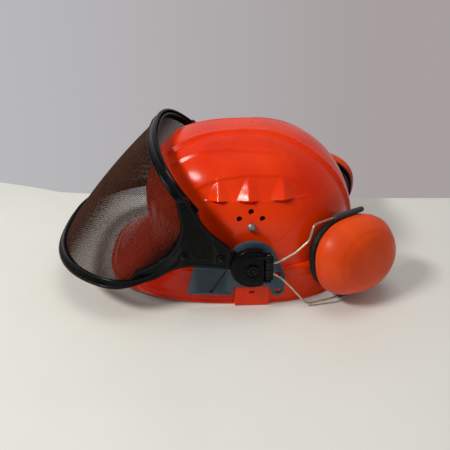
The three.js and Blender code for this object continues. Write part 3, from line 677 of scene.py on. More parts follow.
def branch(b, tau):
    c = np.abs(np.cos(tau)) ** (2 / b["n"])
    x = mix(UP["x"], b["x"], smooth(0.15, 0.6, c)) * spow(np.sin(tau), 2 / b["n"])
    r = b["r0"] + (b["r1"] - b["r0"]) * c
    a = b["a"] * RAD
    return np.stack([x, -r * math.cos(a), HZ + r * math.sin(a) - b["dip"] * np.sin(tau) ** 2 * smooth(0.2, 0.5, c)], -1)


def mesh_point(tau, v):
    tau, v = np.broadcast_arrays(np.asarray(tau, float), np.asarray(v, float))
    return branch(UP, tau) * (1 - v)[..., None] + branch(LO, tau) * v[..., None]


def mesh_normal(tau, v):
    e = 2e-3
    tau, v = np.broadcast_arrays(np.asarray(tau, float), np.asarray(v, float))
    a = mesh_point(tau + e, v) - mesh_point(tau - e, v)
    b = mesh_point(tau, v + e) - mesh_point(tau, v - e)
    return unit(np.cross(a, b))


_sg = -1 if mesh_normal(0.0, 0.5)[1] > 0 else 1
TAU_END = 87 * RAD


def tau_even(n, end, v=0.5):
    """tau values evenly spaced along the branch's length"""
    t = np.linspace(-end, end, 4001)
    p = mesh_point(t, v)
    L = np.concatenate([[0], np.cumsum(np.linalg.norm(np.diff(p, axis=0), axis=1))])
    return np.interp(np.linspace(0, L[-1], n), L, t), L[-1]


def strip_rings(sd, section, end, n):
    taus, _ = tau_even(n, end, float(sd))
    p = mesh_point(taus, float(sd))
    q = mesh_point(taus, 0.5)
    d = unit(q - p)
    k = mesh_normal(taus, 0.97 if sd else 0.03) * _sg
    return [[p[i] + d[i] * w + k[i] * h for w, h in section] for i in range(len(taus))]


def build_visor_frame():
    # section with rounded corners, a raised bead along each edge and a shallow channel
    sec = [(-6.0, 1.6), (-5.6, 1.15), (5.6, 1.15), (6.0, 1.6), (6.0, 4.2), (5.7, 4.85), (5.1, 5.1), (4.5, 4.85), (4.2, 4.2),
           (3.6, 4.05), (-2.2, 4.05), (-2.7, 4.45), (-3.3, 4.6), (-3.8, 4.3), (-4.2, 4.1), (-5.4, 4.0), (-5.9, 3.5)]
    a = temp("vf_u", *loft(strip_rings(0, sec, 80.2 * RAD, 130)))
    b = temp("vf_l", *loft(strip_rings(1, sec, 79.4 * RAD, 170)))
    parts = []
    # plate that closes the corner between both branches, its front edge a deep rounded notch
    delta = round_outline([(-25, 54.5), (-22.5, 70), (-22.5, 79), (-42, 97), (-49, 107), (-53.5, 117), (-58.5, 127), (-63, 136), (-73, 134), (-71.5, 119), (-69.8, 108),
                           (-70.8, 99), (-73.6, 90), (-78, 81.5), (-86.5, 72.5), (-98, 64.5), (-112, 57.5), (-122, 54), (-121, 40.5), (-108, 42.3), (-100, 45), (-92, 49.6), (-84, 54.5), (-74, 58), (-60, 59.5), (-45, 58)], 4, 6)
    for sd in (1, -1):
        pl = plate(120.4, 124.6, delta, sd, 0.9, 3, [(-70, 71, 2.1), (-32.5, 67, 2.1)])
        parts.append(pl)
        # raised border rib, a constant way in from the plate's edge
        c = np.array(delta)
        keepd = [0]
        for q in range(1, len(c)):
            if np.linalg.norm(c[q] - c[keepd[-1]]) > 0.35:
                keepd.append(q)
        c = c[keepd]
        tn = unit(np.roll(c, -1, 0) - np.roll(c, 1, 0))
        area2 = (c[:, 0] * np.roll(c[:, 1], -1) - np.roll(c[:, 0], -1) * c[:, 1]).sum()
        nin = np.stack([-tn[:, 1], tn[:, 0]], -1) * (1 if area2 > 0 else -1)
        rows4 = [(1.5, 124.5), (1.8, 125.4), (2.6, 125.4), (2.9, 124.5)]
        v = [(xx, *(c[q] + nin[q] * dd)) for dd, xx in rows4 for q in range(len(c))]
        n = len(c)
        f = [(k * n + j, k * n + (j + 1) % n, ((k + 1) % 4) * n + (j + 1) % n, ((k + 1) % 4) * n + j) for k in range(4) for j in range(n)]
        parts.append(temp("t_rib", v, f, sd))
        # a shallow tray in the middle, with a raised lip on three sides
        tray = [(-63, 84), (-60, 74.5), (-54, 68.5), (-43, 68), (-37, 73.5), (-35, 80)]
        for (y0, z0), (y1, z1) in zip(tray[:-1], tray[1:]):
            dy, dz = y1 - y0, z1 - z0
            L = math.hypot(dy, dz)
            ny, nz = -dz / L * 0.55, dy / L * 0.55
            ey, ez = dy / L * 0.3, dz / L * 0.3
            vv = [(x, y + sy * ny, z + sy * nz) for x, sc in ((124.4, 1), (125.5, 0.6)) for (y, z, sy) in
                  ((y0 - ey, z0 - ez, sc), (y1 + ey, z1 + ez, sc), (y1 + ey, z1 + ez, -sc), (y0 - ey, z0 - ez, -sc))]
            parts.append(temp("t_l", vv, [(0, 1, 2, 3), (7, 6, 5, 4), (0, 4, 5, 1), (1, 5, 6, 2), (2, 6, 7, 3), (3, 7, 4, 0)], sd))
    o = join([a, b] + parts)
    o.name = "visor_frame_visual"
    finish_piece(o, MAT["black"], "visor", ("visor_frame",), 40)
    return o


build_visor_frame()


def build_retainer():
    END_R = 79.5 * RAD
    sec = [(-4, -1.5), (-3.8, -1.3), (3.8, -1.3), (4, -1.5), (4, -3.2), (3.5, -3.6), (-3.5, -3.6), (-4, -3.2)]
    a = temp("vr_u", *loft(strip_rings(0, sec, END_R, 120)))
    b = temp("vr_l", *loft(strip_rings(1, sec, END_R, 150)))
    parts = [a, b]
    for sg in (1, -1):
        e = sg * 80.6 * RAD
        rings = []
        for v in np.linspace(0, 1, 24):
            k = mesh_normal(e, v) * _sg
            at = lambda dt, h: mesh_point(e + dt, v) + k * h
            rings.append([at(-0.026, -3.2), at(-0.022, -3.4), at(0.022, -3.4), at(0.026, -3.2), at(0.026, -1.7), at(0.022, -1.5), at(-0.022, -1.5), at(-0.026, -1.7)])
        parts.append(temp("t_tie", *loft(rings)))
    o = join(parts)
    o.name = "visor_retainer_visual"
    finish_piece(o, MAT["black"], "visor", ("visor_retainer",), 40)


build_retainer()


def build_mesh():
    """Woven wire cloth: every wire is its own bent tube, passing over and under those that cross it."""
    PITCH, R = 1.6, 0.335
    end = 83.2 * RAD
    _, L = tau_even(10, end, 0.5)
    NU = int(L / PITCH)                      # warp wires, from branch to branch
    tU, _ = tau_even(NU, end, 0.5)
    H = np.linalg.norm(mesh_point(0.0, 1.0) - mesh_point(0.0, 0.0))
    NV = int(H / PITCH)                      # weft wires, from side to side
    vV = np.linspace(0.004, 0.996, NV)
    tri = np.array([0, 2, 4]) * math.pi / 3
    def tubes(P, N, name_i, amp, body_pts):
        pass
    TT, VV = np.meshgrid(tU, vV)             # NV x NU crossings
    P = mesh_point(TT, VV)
    N = mesh_normal(TT, VV) * _sg
    # the cloth bows outwards a little between its two edges
    P = P + N * (4.6 * np.sin(math.pi * VV) ** 0.8 * (1 - smooth(0.75, 1.0, np.abs(TT) / end)))[..., None]
    par = (np.indices(P.shape[:2]).sum(0) % 2) * 2 - 1
    def strands(P, N, par, axis):
        # the strand runs along `axis`, rising and dipping at alternate crossings
        if axis == 0:
            P, N, par = P.transpose(1, 0, 2), N.transpose(1, 0, 2), par.T * -1
        K, M = P.shape[:2]
        C = P + N * (par * R * 0.95)[..., None]
        T = unit(np.gradient(P, axis=1))
        B = np.cross(T, N)
        ring = np.stack([C + R * (math.cos(a) * N + math.sin(a) * B) for a in tri], 2)   # K M 3 3
        idx = np.arange(K * M * 3).reshape(K, M, 3)
        F = []
        for j in range(3):
            j2 = (j + 1) % 3
            q = np.stack([idx[:, :-1, j], idx[:, :-1, j2], idx[:, 1:, j2], idx[:, 1:, j]], -1).reshape(-1, 4)
            F.append(q)
        caps = np.concatenate([idx[:, 0, ::-1], idx[:, -1, :]])
        return ring.reshape(-1, 3), np.concatenate(F), caps
    made = []
    # split in four pieces across the width, so that each stays light
    cuts = np.linspace(0, NU - 1, 3).astype(int)
    for i in range(2):
        sl = slice(cuts[i], cuts[i + 1] + 1)
        for axis, nm in ((0, "warp"), (1, "weft")):
            V, F, caps = strands(P[:, sl], N[:, sl], par[:, sl], axis)
            faces = [tuple(f) for f in F] + [tuple(c) for c in caps]
            o = make("visor_mesh_%s_%d" % (nm, i + 1), V, faces, MAT["wire"], "visor", ("visor_mesh",), 80, 1, fix=False)
            made.append(o)
    return made


build_mesh()

# ---------------------------------------------------------------- cup frame
CT, CL = 28 * RAD, 12 * RAD
T_ = np.array([-math.sin(CT), math.cos(CT), 0])
N_ = np.array([math.cos(CL) * math.cos(CT), math.cos(CL) * math.sin(CT), math.sin(CL)])
U_ = np.cross(N_, T_)
CUP_C = np.array([95.5, 108, 51.5])
CUP_W, CUP_H, CUP_D = 49.0, 41.5, 33.0


def cup_at(t, u, n):
    t, u, n = np.broadcast_arrays(np.asarray(t, float), np.asarray(u, float), np.asarray(n, float))
    return CUP_C + T_ * t[..., None] + U_ * u[..., None] + N_ * n[..., None]


def oval(a, b, count, p=2.4):
    th = np.arange(count) / count * 2 * math.pi
    t = np.arctan2(spow(np.sin(th), p / 2), spow(np.cos(th), p / 2))
    return a * spow(np.cos(t), 2 / p), b * spow(np.sin(t), 2 / p)


def build_cup(sd, tag):
    CN = 144
    # outer profile: rim bead, parting groove, wall, shoulder, flattened face
    prof_n = np.array([0, 0.4, 1.2, 3.2, 4.6, 5.2, 5.8, 6.4, 8.5, 12, 16, 20, 23.5, 26.5, 28.8, 30.4, 31.6, 32.4, 32.8, 32.95])
    prof_k = np.array([0.985, 1.0, 1.006, 1.004, 1.0, 0.980, 0.980, 0.998, 0.994, 0.972, 0.936, 0.886, 0.826, 0.752, 0.674, 0.594, 0.50, 0.375, 0.21, 0.08])
    tt = np.linspace(0, 1, len(prof_n))
    fine = np.linspace(0, 1, 74)
    # keep the groove crisp: linear up to it, smooth above
    from_i = 8
    def cr(xs, ys, q):
        return np.interp(q, xs, ys)
    n_ = cr(tt, prof_n, fine)
    k_ = cr(tt, prof_k, fine)
    for _ in range(6):
        m = fine > tt[from_i]
        k_[1:-1] = np.where(m[1:-1], (k_[:-2] + 2 * k_[1:-1] + k_[2:]) / 4, k_[1:-1])
        n_[1:-1] = np.where(m[1:-1], (n_[:-2] + 2 * n_[1:-1] + n_[2:]) / 4, n_[1:-1])
    rings = []
    for n, k in zip(n_, k_):
        a, b = oval(CUP_W * k, CUP_H * k, CN, 2.4 - 0.4 * float(smooth(8, 28, n)))
        # a soft dished band round the face, and a faint round medallion off its middle
        nn = np.full(CN, n)
        rings.append((a, b, nn))
    A = np.array([r[0] for r in rings]); B = np.array([r[1] for r in rings]); Nn = np.array([r[2] for r in rings])
    rho = np.sqrt((A / CUP_W) ** 2 + (B / CUP_H) ** 2)
    Nn = Nn - 0.28 * np.exp(-((rho - 0.70) / 0.04) ** 2) + 0.3 * np.exp(-((rho - 0.79) / 0.045) ** 2)
    md = np.sqrt((A - 18) ** 2 + (B + 6) ** 2)
    Nn = Nn + (-0.35 * np.exp(-((md - 7.2) / 0.55) ** 2)) * (Nn > 20)
    outer = cup_at(A, B, Nn)
    inner = []
    for n, k in [(0, 1), (4, 1), (8, 1), (12, 0.975), (15.5, 0.955), (19, 0.91), (22, 0.86), (24.6, 0.78), (26.7, 0.68), (28.3, 0.55), (29.4, 0.4), (30.2, 0.15)]:
        a, b = oval((CUP_W - 2.5) * k, (CUP_H - 2.5) * k, CN)
        inner.append(cup_at(a, b, n))
    R = list(outer[::-1]) + inner
    V, F = loft(R, caps=False)
    V = np.concatenate([V, [cup_at(0, 0, 33.0), cup_at(0, 0, 30.5)]])
    m = len(R)
    k1, k2 = len(V) - 2, len(V) - 1
    F += [(k1, j, (j + 1) % CN) for j in range(CN)]
    F += [(k2, (m - 1) * CN + (j + 1) % CN, (m - 1) * CN + j) for j in range(CN)]
    make("cup_visual_" + tag, V, F, MAT["cup"], "cup_" + tag, ("cup_" + tag,), 45, sd)

    def ring_loop(sec, count=120, p=2.4, wob=None):
        rings = []
        a1, b1 = oval(1, 1, count, p)
        for j in range(count):
            rings.append([cup_at(a1[j] * a, b1[j] * b, n) for a, b, n in sec])
        return loft(rings, closed=True)
    # plate under the cup with a rounded flange
    V, F = ring_loop([(48.5, 41, -0.8), (48.2, 40.7, -0.4), (31.4, 25.4, -0.4), (31, 25, -0.8), (31, 25, -3.2), (31.4, 25.4, -3.6), (48.1, 40.6, -3.6), (48.5, 41, -3.1)])
    make("cup_plate_visual_" + tag, V, F, MAT["black"], "cup_" + tag, ("cup_plate_" + tag,), 40, sd)
    # foam pad in the bowl, with soft edge and dimples
    rings = []
    for n, k in [(1.5, 0.86), (1.9, 0.90), (3.2, 0.925), (8, 0.915), (14, 0.88), (18.5, 0.80), (20.6, 0.74), (21, 0.70)]:
        a, b = oval((CUP_W - 4) * k, (CUP_H - 4) * k, 72)
        rings.append(cup_at(a, b, n))
    for k in (0.7, 0.5, 0.3, 0.12):
        a, b = oval((CUP_W - 4) * 0.86 * k / 0.7 * 0.98, (CUP_H - 4) * 0.86 * k / 0.7 * 0.98, 72)
        rings.insert(0, cup_at(a, b, 1.5 + 1.6 * (1 - k / 0.7)))
    V, F = loft(rings)
    make("ear_foam_visual_" + tag, V, F, MAT["foam"], "cup_" + tag, ("ear_foam_" + tag,), 60, sd)


for sd, tag in ((1, "l"), (-1, "r")):
    build_cup(sd, tag)


def cushion_base(shrink=0.8):
    sec = [(46.0, 38.8, -4.2), (48.6, 41.2, -6.5), (49.0, 41.6, -9.5), (48.6, 41.2, -12.4), (46.6, 39.4, -15.6), (42.8, 36.2, -17.2), (38.5, 32.3, -17.6), (34.6, 29.1, -17.0),
           (31.5, 26.5, -15), (29.6, 24.6, -13), (29, 24, -10.5), (29.2, 24.2, -7.5), (31, 25.5, -4.2)]
    s = shrink
    a0, b0, n0 = 37.7, 31.8, -10.3
    sec = [(a0 + (a - a0) * s, b0 + (b - b0) * s, n0 + (n - n0) * s) for a, b, n in sec]
    count = 96
    a1, b1 = oval(1, 1, count, 2.4)
    rings = [[cup_at(a1[j] * a, b1[j] * b, n) for a, b, n in sec] for j in range(count)]
    return loft(rings, closed=True)


def to_cup(co):
    """Row-frame points of the left cup in (t, u, n) millimetres."""
    d = co / MM - [0, SY, 0] - CUP_C
    return np.stack([d @ T_, d @ U_, d @ N_], -1)


def build_cushion():
    V, F = cushion_base(0.88)
    o = temp("ear_cushion_visual_l", V, F)
    o.data.remesh_voxel_size = 0.0022
    m = o.modifiers.new("r", "REMESH")
    m.mode = "VOXEL"
    m.voxel_size = 0.0030
    apply_mods(o)
    rest = np.array([v.co for v in o.data.vertices])
    c = o.modifiers.new("c", "CLOTH")
    c.settings.use_pressure = True
    c.settings.uniform_pressure_force = 4
    c.settings.mass = 0.25
    c.settings.tension_stiffness = 12
    c.settings.compression_stiffness = 12
    c.settings.bending_stiffness = 0.6
    c.settings.effector_weights.gravity = 0
    c.collision_settings.use_self_collision = False
    c.point_cache.frame_start, c.point_cache.frame_end = 1, 16
    sc = bpy.context.scene
    for f in range(1, 13):
        sc.frame_set(f)
    dg = bpy.context.evaluated_depsgraph_get()
    ev = o.evaluated_get(dg)
    moved = np.array([v.co for v in ev.data.vertices])
    o.modifiers.clear()
    sc.frame_set(1)
    d = moved - rest
    L = np.linalg.norm(d, axis=1, keepdims=True)
    d *= np.minimum(1, 0.0035 / np.maximum(L, 1e-9))
    o.data.vertices.foreach_set("co", (rest + d).ravel())
    s = o.modifiers.new("s", "SUBSURF")
    s.levels = s.render_levels = 1
    apply_mods(o)
    # keep it in its own room, then sew the seam and press the wrinkles
    co = np.array([v.co for v in o.data.vertices])
    q = to_cup(co)
    ang = np.arctan2(q[:, 1] / CUP_H, q[:, 0] / CUP_W)
    rho = (np.abs(q[:, 0] / CUP_W) ** 2.4 + np.abs(q[:, 1] / CUP_H) ** 2.4) ** (1 / 2.4)
    wr = 0.45 * np.sin(ang * 23 + 1.3 * np.sin(ang * 5)) * np.exp(-((rho - 0.64) / 0.05) ** 2)        # gathers at the inner edge
    wr += 0.22 * np.sin(ang * 31 + 0.7) * np.exp(-((rho - 0.93) / 0.04) ** 2)
    q[:, 2] += wr * (q[:, 2] < -9)
    seam = np.exp(-((q[:, 2] + 6.8) / 0.55) ** 2) * (rho > 0.82)
    f = 1 - 0.022 * seam
    q[:, 0] *= f; q[:, 1] *= f
    # the front end is thinner, so it clears the shell as the cup tilts
    inner = -18.8 + 2.4 * smooth(6, 40, -q[:, 0]) + 1.7 * np.exp(-((q[:, 0] + 28) / 15) ** 2 - ((q[:, 1] - 27) / 15) ** 2)
    q[:, 2] = np.clip(q[:, 2] * 1.04, inner, -3.8)
    mx = 1.0
    rr = (np.abs(q[:, 0] / CUP_W) ** 2.4 + np.abs(q[:, 1] / CUP_H) ** 2.4) ** (1 / 2.4)
    g = np.minimum(1, mx / np.maximum(rr, 1e-9))
    q[:, 0] *= g; q[:, 1] *= g
    co2 = (CUP_C + q[:, :1] * T_ + q[:, 1:2] * U_ + q[:, 2:] * N_ + [0, SY, 0]) * MM
    o.data.vertices.foreach_set("co", co2.ravel())
    o.data.update()
    r = o.copy()
    r.data = o.data.copy()
    r.name = "ear_cushion_visual_r"
    bpy.context.scene.collection.objects.link(r)
    c3 = co2 * [-1, 1, 1]
    r.data.vertices.foreach_set("co", c3.ravel())
    bm = bmesh.new(); bm.from_mesh(r.data); bmesh.ops.reverse_faces(bm, faces=bm.faces); bm.to_mesh(r.data); bm.free()
    for ob, tag in ((o, "l"), (r, "r")):
        finish_piece(ob, MAT["cushion"], "cup_" + tag, ("ear_cushion_" + tag,), 180)


build_cushion()

# ---------------------------------------------------------------- wires and sleeves
OUT_X, OUT_Y = 124.2, 15.6
SLEEVE_U, SLEEVE_N, SLEEVE_L = CUP_H + 3.4, -2.0, 40.0


def sweep(points, radius, sides=16):
    p = np.array(points, float)
    t = unit(np.gradient(p, axis=0))
    up = np.array([0, 0, 1.0])
    nrm = unit(np.cross(t[0], up)) if abs(t[0][2]) < 0.9 else unit(np.cross(t[0], [1.0, 0, 0]))
    rings = []
    r = np.broadcast_to(np.asarray(radius, float), (len(p),))
    for i in range(len(p)):
        nrm = unit(nrm - t[i] * (nrm @ t[i]))
        b = np.cross(t[i], nrm)
        rings.append([p[i] + r[i] * (math.cos(a) * nrm + math.sin(a) * b) for a in np.arange(sides) / sides * 2 * math.pi])
    return loft(rings)


def rounded_path(pts, r=3.2, k=8):
    pts = [np.array(p, float) for p in pts]
    out = [pts[0]]
    for i in range(1, len(pts) - 1):
        p = pts[i]
        a, b = pts[i - 1] - p, pts[i + 1] - p
        la, lb = np.linalg.norm(a), np.linalg.norm(b)
        d = min(r, la * 0.45, lb * 0.45)
        a, b = p + a / la * d, p + b / lb * d
        for j in range(k):
            t = j / (k - 1)
            out.append((1 - t) ** 2 * a + 2 * t * (1 - t) * p + t * t * b)
    out.append(pts[-1])
    # no two points closer than a tenth of a millimetre
    keep = [out[0]]
    for q in out[1:]:
        if np.linalg.norm(q - keep[-1]) > 0.1:
            keep.append(q)
    return keep


for sd, tag in ((1, "l"), (-1, "r")):
    for nm, sg in (("upper", 1), ("lower", -1)):
        e = cup_at(-SLEEVE_L / 2 + 10, sg * SLEEVE_U, SLEEVE_N)
        mouth = cup_at(-SLEEVE_L / 2 - 2, sg * SLEEVE_U, SLEEVE_N)
        before = cup_at(-SLEEVE_L / 2 - 8, sg * SLEEVE_U, SLEEVE_N)
        if sg > 0:
            pts = [(OUT_X, 17.5, HZ + 6), (OUT_X, 23, HZ + 6), (122.6, 29, 62.6), (120.5, 43.3, 70.3), (117.2, 56.4, 81.5), (115.4, 58.6, 89), (112.4, 61.5, 97.2), before, mouth, e]
        else:
            pts = [(OUT_X, 17.5, HZ - 6), (OUT_X, 20.5, HZ - 6.4), (122.6, 29.5, 41.2), (121, 41, 27.4), (119.3, 55.5, 7.5), (118.4, 60.5, 3.2), before, mouth, e]
        V, F = sweep(rounded_path(pts), 1.12)
        make("wire_%s_visual_%s" % (nm, tag), V, F, MAT["steel"], "arm_" + tag, ("wire_%s_%s" % (nm, tag),), 50, sd)
        # sleeve: ribbed grip with rounded ends and its foot
        xs = np.array([0, 0.25, 0.8, 1.6, 3, 6, 10, 14, 14.6, 15.4, 16, 20, 24, 24.6, 25.4, 26, 30, 34, 37, 38.8, 39.6, 40]) - SLEEVE_L / 2
        rr = np.array([1.9, 2.35, 2.75, 2.95, 3.0, 3.0, 3.0, 3.0, 2.75, 2.75, 3.0, 3.0, 3.0, 2.75, 2.75, 3.0, 3.0, 3.0, 2.95, 2.6, 2.0, 0.8])
        ca = np.arange(28) / 28 * 2 * math.pi
        rings = [[cup_at(x, sg * SLEEVE_U + r * math.cos(a), SLEEVE_N + r * math.sin(a)) for a in ca] for x, r in zip(xs, rr)]
        s_ = temp("t_sl", *loft(rings))
        foot = temp("t_ft", [cup_at(x, u, n) for x in (-5, 5) for u in ((sg * (SLEEVE_U - 3.1)), sg * SLEEVE_U) for n in (SLEEVE_N - 2.4, SLEEVE_N + 2.4)],
                    [(0, 1, 3, 2), (4, 6, 7, 5), (0, 4, 5, 1), (2, 3, 7, 6), (0, 2, 6, 4), (1, 5, 7, 3)])
        bevel(foot, 0.5, 2)
        boolean(s_, [foot], "UNION")
        if sd < 0:
            co = np.array([v.co for v in s_.data.vertices]) * [-1, 1, 1]
            s_.data.vertices.foreach_set("co", co.ravel())
            bm = bmesh.new(); bm.from_mesh(s_.data); bmesh.ops.reverse_faces(bm, faces=bm.faces); bm.to_mesh(s_.data); bm.free()
        s_.name = "sleeve_%s_visual_%s" % (nm, tag)
        finish_piece(s_, MAT["sleeve"], "arm_" + tag, ("sleeve_%s_%s" % (nm, tag),), 40)

# ---------------------------------------------------------------- side fittings


def lathe_x(loop, n=96, y=0.0, z=HZ):
    a = np.arange(n) / n * 2 * math.pi
    rings = [[(x, y + r * math.cos(t), z + r * math.sin(t)) for r, x in loop] for t in a]
    return loft(rings, closed=True)


def arc(cy, cz, r, a0, a1, n):
    return [(cy + r * math.cos(t * RAD), cz + r * math.sin(t * RAD)) for t in np.linspace(a0, a1, n)]


for sd, tag in ((1, "l"), (-1, "r")):
    # hub: stepped disc with concentric ridges, a flat rear side and two ears
    loop = [(5, 119.7), (22.2, 119.7), (22.6, 120.2), (22.6, 125.2), (22.2, 126.2), (21.5, 126.9), (20.5, 127.4), (19.2, 127.7), (18.6, 127.5), (18.2, 127.5), (17.8, 127.8),
            (14.5, 128.1), (12.0, 128.4), (9.6, 128.55), (9.1, 128.3), (8.7, 128.3), (8.2, 128.1), (7.6, 127.6), (5, 127.6)]
    h = temp("hub_t", *lathe_x(loop), sd)
    boolean(h, [temp("t_c", *box_mesh(110, 140, 10.6, 30, HZ - 30, HZ + 30), sd)])
    for z0, z1 in ((HZ + 12.9, HZ + 16), (HZ - 16, HZ - 12.9)):
        ear = temp("t_e", *box_mesh(119.7, 128.3, 4, 18.5, z0, z1), sd)
        bevel(ear, 0.6, 2)
        boolean(h, [ear], "UNION")
    pin = temp("t_pin", *[x if i else np.array(x) for i, x in enumerate(loft([[(OUT_X + 1.9 * math.cos(a), OUT_Y + 1.9 * math.sin(a), z) for a in np.arange(24) / 24 * 2 * math.pi] for z in (HZ - 22, HZ + 22)]))], sd)
    boolean(h, [pin])
    h.name = "hub_visual_" + tag
    finish_piece(h, MAT["black"], "hub_" + tag, ("hub_" + tag,), 35)

    # rivet of the pivot: turned head with a rolled rim
    loop = [(0.001, 115.8), (4.5, 115.8), (4.5, 128.9), (5.3, 128.9), (5.6, 129.2), (5.6, 129.8), (5.2, 130.2), (3.9, 130.3), (3.5, 130.0), (3.1, 129.3), (2.3, 129.2), (1.9, 129.5), (1.0, 129.6), (0.001, 129.6)]
    V, F = lathe_x(loop, 64)
    make("pivot_pin_visual_" + tag, V, F, MAT["black"], "helmet", ("pivot_pin_" + tag,), 40, sd)

    # adapter plate: arch round the hub, front wing with its diagonal rib, rear lug with two holes
    outline = arc(0, HZ, 26.0, 8, 176, 40) + [(-25.5, 53.5)]
    outline += [(-57, 53.5), (-60.4, 51.4), (-68.6, 21), (-67.5, 18.2), (-21.8, 15.6), (-20.4, 17.2), (-19, 26), (15, 26), (19.2, 22.5), (21.4, 16.5), (24.2, 13.4), (28.0, 12.6), (31.6, 14.0), (34.2, 18), (34.3, 23), (33.6, 30), (34.6, 36), (33.6, 42), (30, 50)]
    ad = plate(112.5, 115.4, outline, sd, 0.6, 3, [(27, 41.5, 2.9), (28, 19.6, 3.1)])
    boolean(ad, [temp("t_br", *box_mesh(109.1, 115.4, -13.6, 13.6, 26.2, 31), sd)], "UNION")
    boolean(ad, [temp("t_bl", *box_mesh(109.1, 111.4, -13.6, 13.6, 3, 27), sd)], "UNION")
    parts = [ad]
    # the rib and a raised border on the wing
    def bar(y0, z0, y1, z1, w0, w1, x0, x1):
        dy, dz = y1 - y0, z1 - z0
        L = math.hypot(dy, dz)
        ny, nz = -dz / L, dy / L
        v = [(x, y + s * w * ny * (1 if x == x0 else 0.55), z + s * w * nz * (1 if x == x0 else 0.55)) for x in (x0, x1) for y, z, w, s in
             ((y0, z0, w0, 1), (y1, z1, w1, 1), (y1, z1, w1, -1), (y0, z0, w0, -1))]
        b = temp("t_bar", v, [(0, 1, 2, 3), (7, 6, 5, 4), (0, 4, 5, 1), (1, 5, 6, 2), (2, 6, 7, 3), (3, 7, 4, 0)], sd)
        return bevel(b, 0.25, 2)
    # a wedge-shaped groove runs down across the wing, and low ridges along its edges
    vg = [(x, y + sg * w * 0.845, z - sg * w * 0.535) for x in (114.0, 117.5) for y, z, w, sg in
          ((-27.0, 47, 0.35, 1), (-44, 20, 2.1, 1), (-44, 20, 2.1, -1), (-27.0, 47, 0.35, -1))]
    boolean(ad, [temp("t_wg", vg, [(0, 1, 2, 3), (7, 6, 5, 4), (0, 4, 5, 1), (1, 5, 6, 2), (2, 6, 7, 3), (3, 7, 4, 0)], sd)])
    parts.append(bar(-60, 51.3, -27, 51.3, 0.8, 0.8, 115.2, 115.7))
    parts.append(bar(-66.0, 20.6, -46, 19.8, 0.8, 0.8, 115.2, 115.7))
    parts.append(bar(-40.5, 19.4, -23, 18.4, 0.8, 0.8, 115.2, 115.7))
    ad = join(parts)
    ad.name = "adapter_visual_" + tag
    finish_piece(ad, MAT["blue"], "helmet", ("adapter_" + tag,), 35)

    # arm that carries the visor frame
    arm = round_outline([(-8, HZ + 12.7), (-30, 73), (-66, 79), (-76, 74), (-76, 66), (-60, 57.5), (-14, HZ - 5.4)], 3, 5)
    va = plate(116, 119.3, arm, sd, 0, 2)
    ring = temp("t_r", *lathe_x([(0.001, 116), (15, 116), (15, 119.3), (0.001, 119.3)], 64), sd)
    boolean(va, [ring], "UNION")
    boolean(va, [temp("t_h", *cyl_x(110, 125, 0, HZ, 5, 48), sd), temp("t_h", *cyl_x(110, 125, -70, 71, 2.1), sd), temp("t_h", *cyl_x(110, 125, -32.5, 67, 2.1), sd)])
    bevel(va, 0.4, 2, 50)
    va.name = "visor_arm_visual_" + tag
    finish_piece(va, MAT["black"], "visor", ("visor_arm_" + tag,), 35)

    # the two rivets through plate and arm, each in a moulded ring
    for nm, y, z in (("front", -70, 71), ("rear", -32.5, 67)):
        loop = [(0.001, 116.4), (1.8, 116.4), (1.8, 124.7), (4.6, 124.7), (4.75, 125.5), (4.5, 126.0), (3.9, 126.1), (3.5, 125.7), (3.2, 125.7), (3.0, 126.4), (2.6, 126.8), (1.4, 127.0), (0.001, 127.0)]
        V, F = lathe_x(loop, 48, y, z)
        make("visor_rivet_%s_visual_%s" % (nm, tag), V, F, MAT["black"], "visor", ("visor_rivet_%s_%s" % (nm, tag),), 40, sd)

    # dulled metal rivet under the vent holes
    loop = [(0.001, 96.5), (1.8, 96.5), (1.8, 99.2), (4.0, 99.2), (4.5, 99.8), (4.4, 101.4), (3.8, 102.6), (2.6, 103.6), (1.3, 104.0), (0.001, 104.1)]
    V, F = lathe_x(loop, 40, 0, 89.5)
    co = np.array(V)
    co[:, 0] += 0.18 * np.sin(co[:, 1] * 3.1) * np.cos(co[:, 2] * 2.7) * (co[:, 0] > 100)
    make("side_rivet_visual_" + tag, co, F, MAT["rivet"], "helmet", ("side_rivet_" + tag,), 60, sd)

    # carrier block behind the hub, with the wires' sockets
    n = 40
    a = np.arange(n) / n * 2 * math.pi
    cyl = temp("t_cy", *loft([[(OUT_X + r * math.cos(t), OUT_Y + r * math.sin(t), z) for t in a] for z, r in ((HZ - 12.5, 3.9), (HZ - 12.1, 4.3), (HZ + 12.1, 4.3), (HZ + 12.5, 3.9))]), sd)
    blk = temp("t_bk", *box_mesh(119.9, 128.0, 15.6, 20.6, HZ - 12.5, HZ + 12.5), sd)
    bevel(blk, 0.7, 3)
    boolean(cyl, [blk], "UNION")
    tl = []
    tl.append(temp("t_z", *loft([[(OUT_X + 1.9 * math.cos(t), OUT_Y + 1.9 * math.sin(t), z) for t in a] for z in (HZ - 20, HZ + 20)]), sd))
    for dz in (6, -6):
        tl.append(temp("t_y", *loft([[(OUT_X + 1.9 * math.cos(t), y, HZ + dz + 1.9 * math.sin(t)) for t in a] for y in (17.2, 30)]), sd))
    for dz in (-9.5, 0, 9.5):
        tl.append(temp("t_g", *box_mesh(127.5, 130, 12, 25.5, HZ + dz - 0.5, HZ + dz + 0.5), sd))
    boolean(cyl, tl)
    cyl.name = "carrier_visual_" + tag
    finish_piece(cyl, MAT["black"], "arm_" + tag, ("carrier_" + tag,), 35)

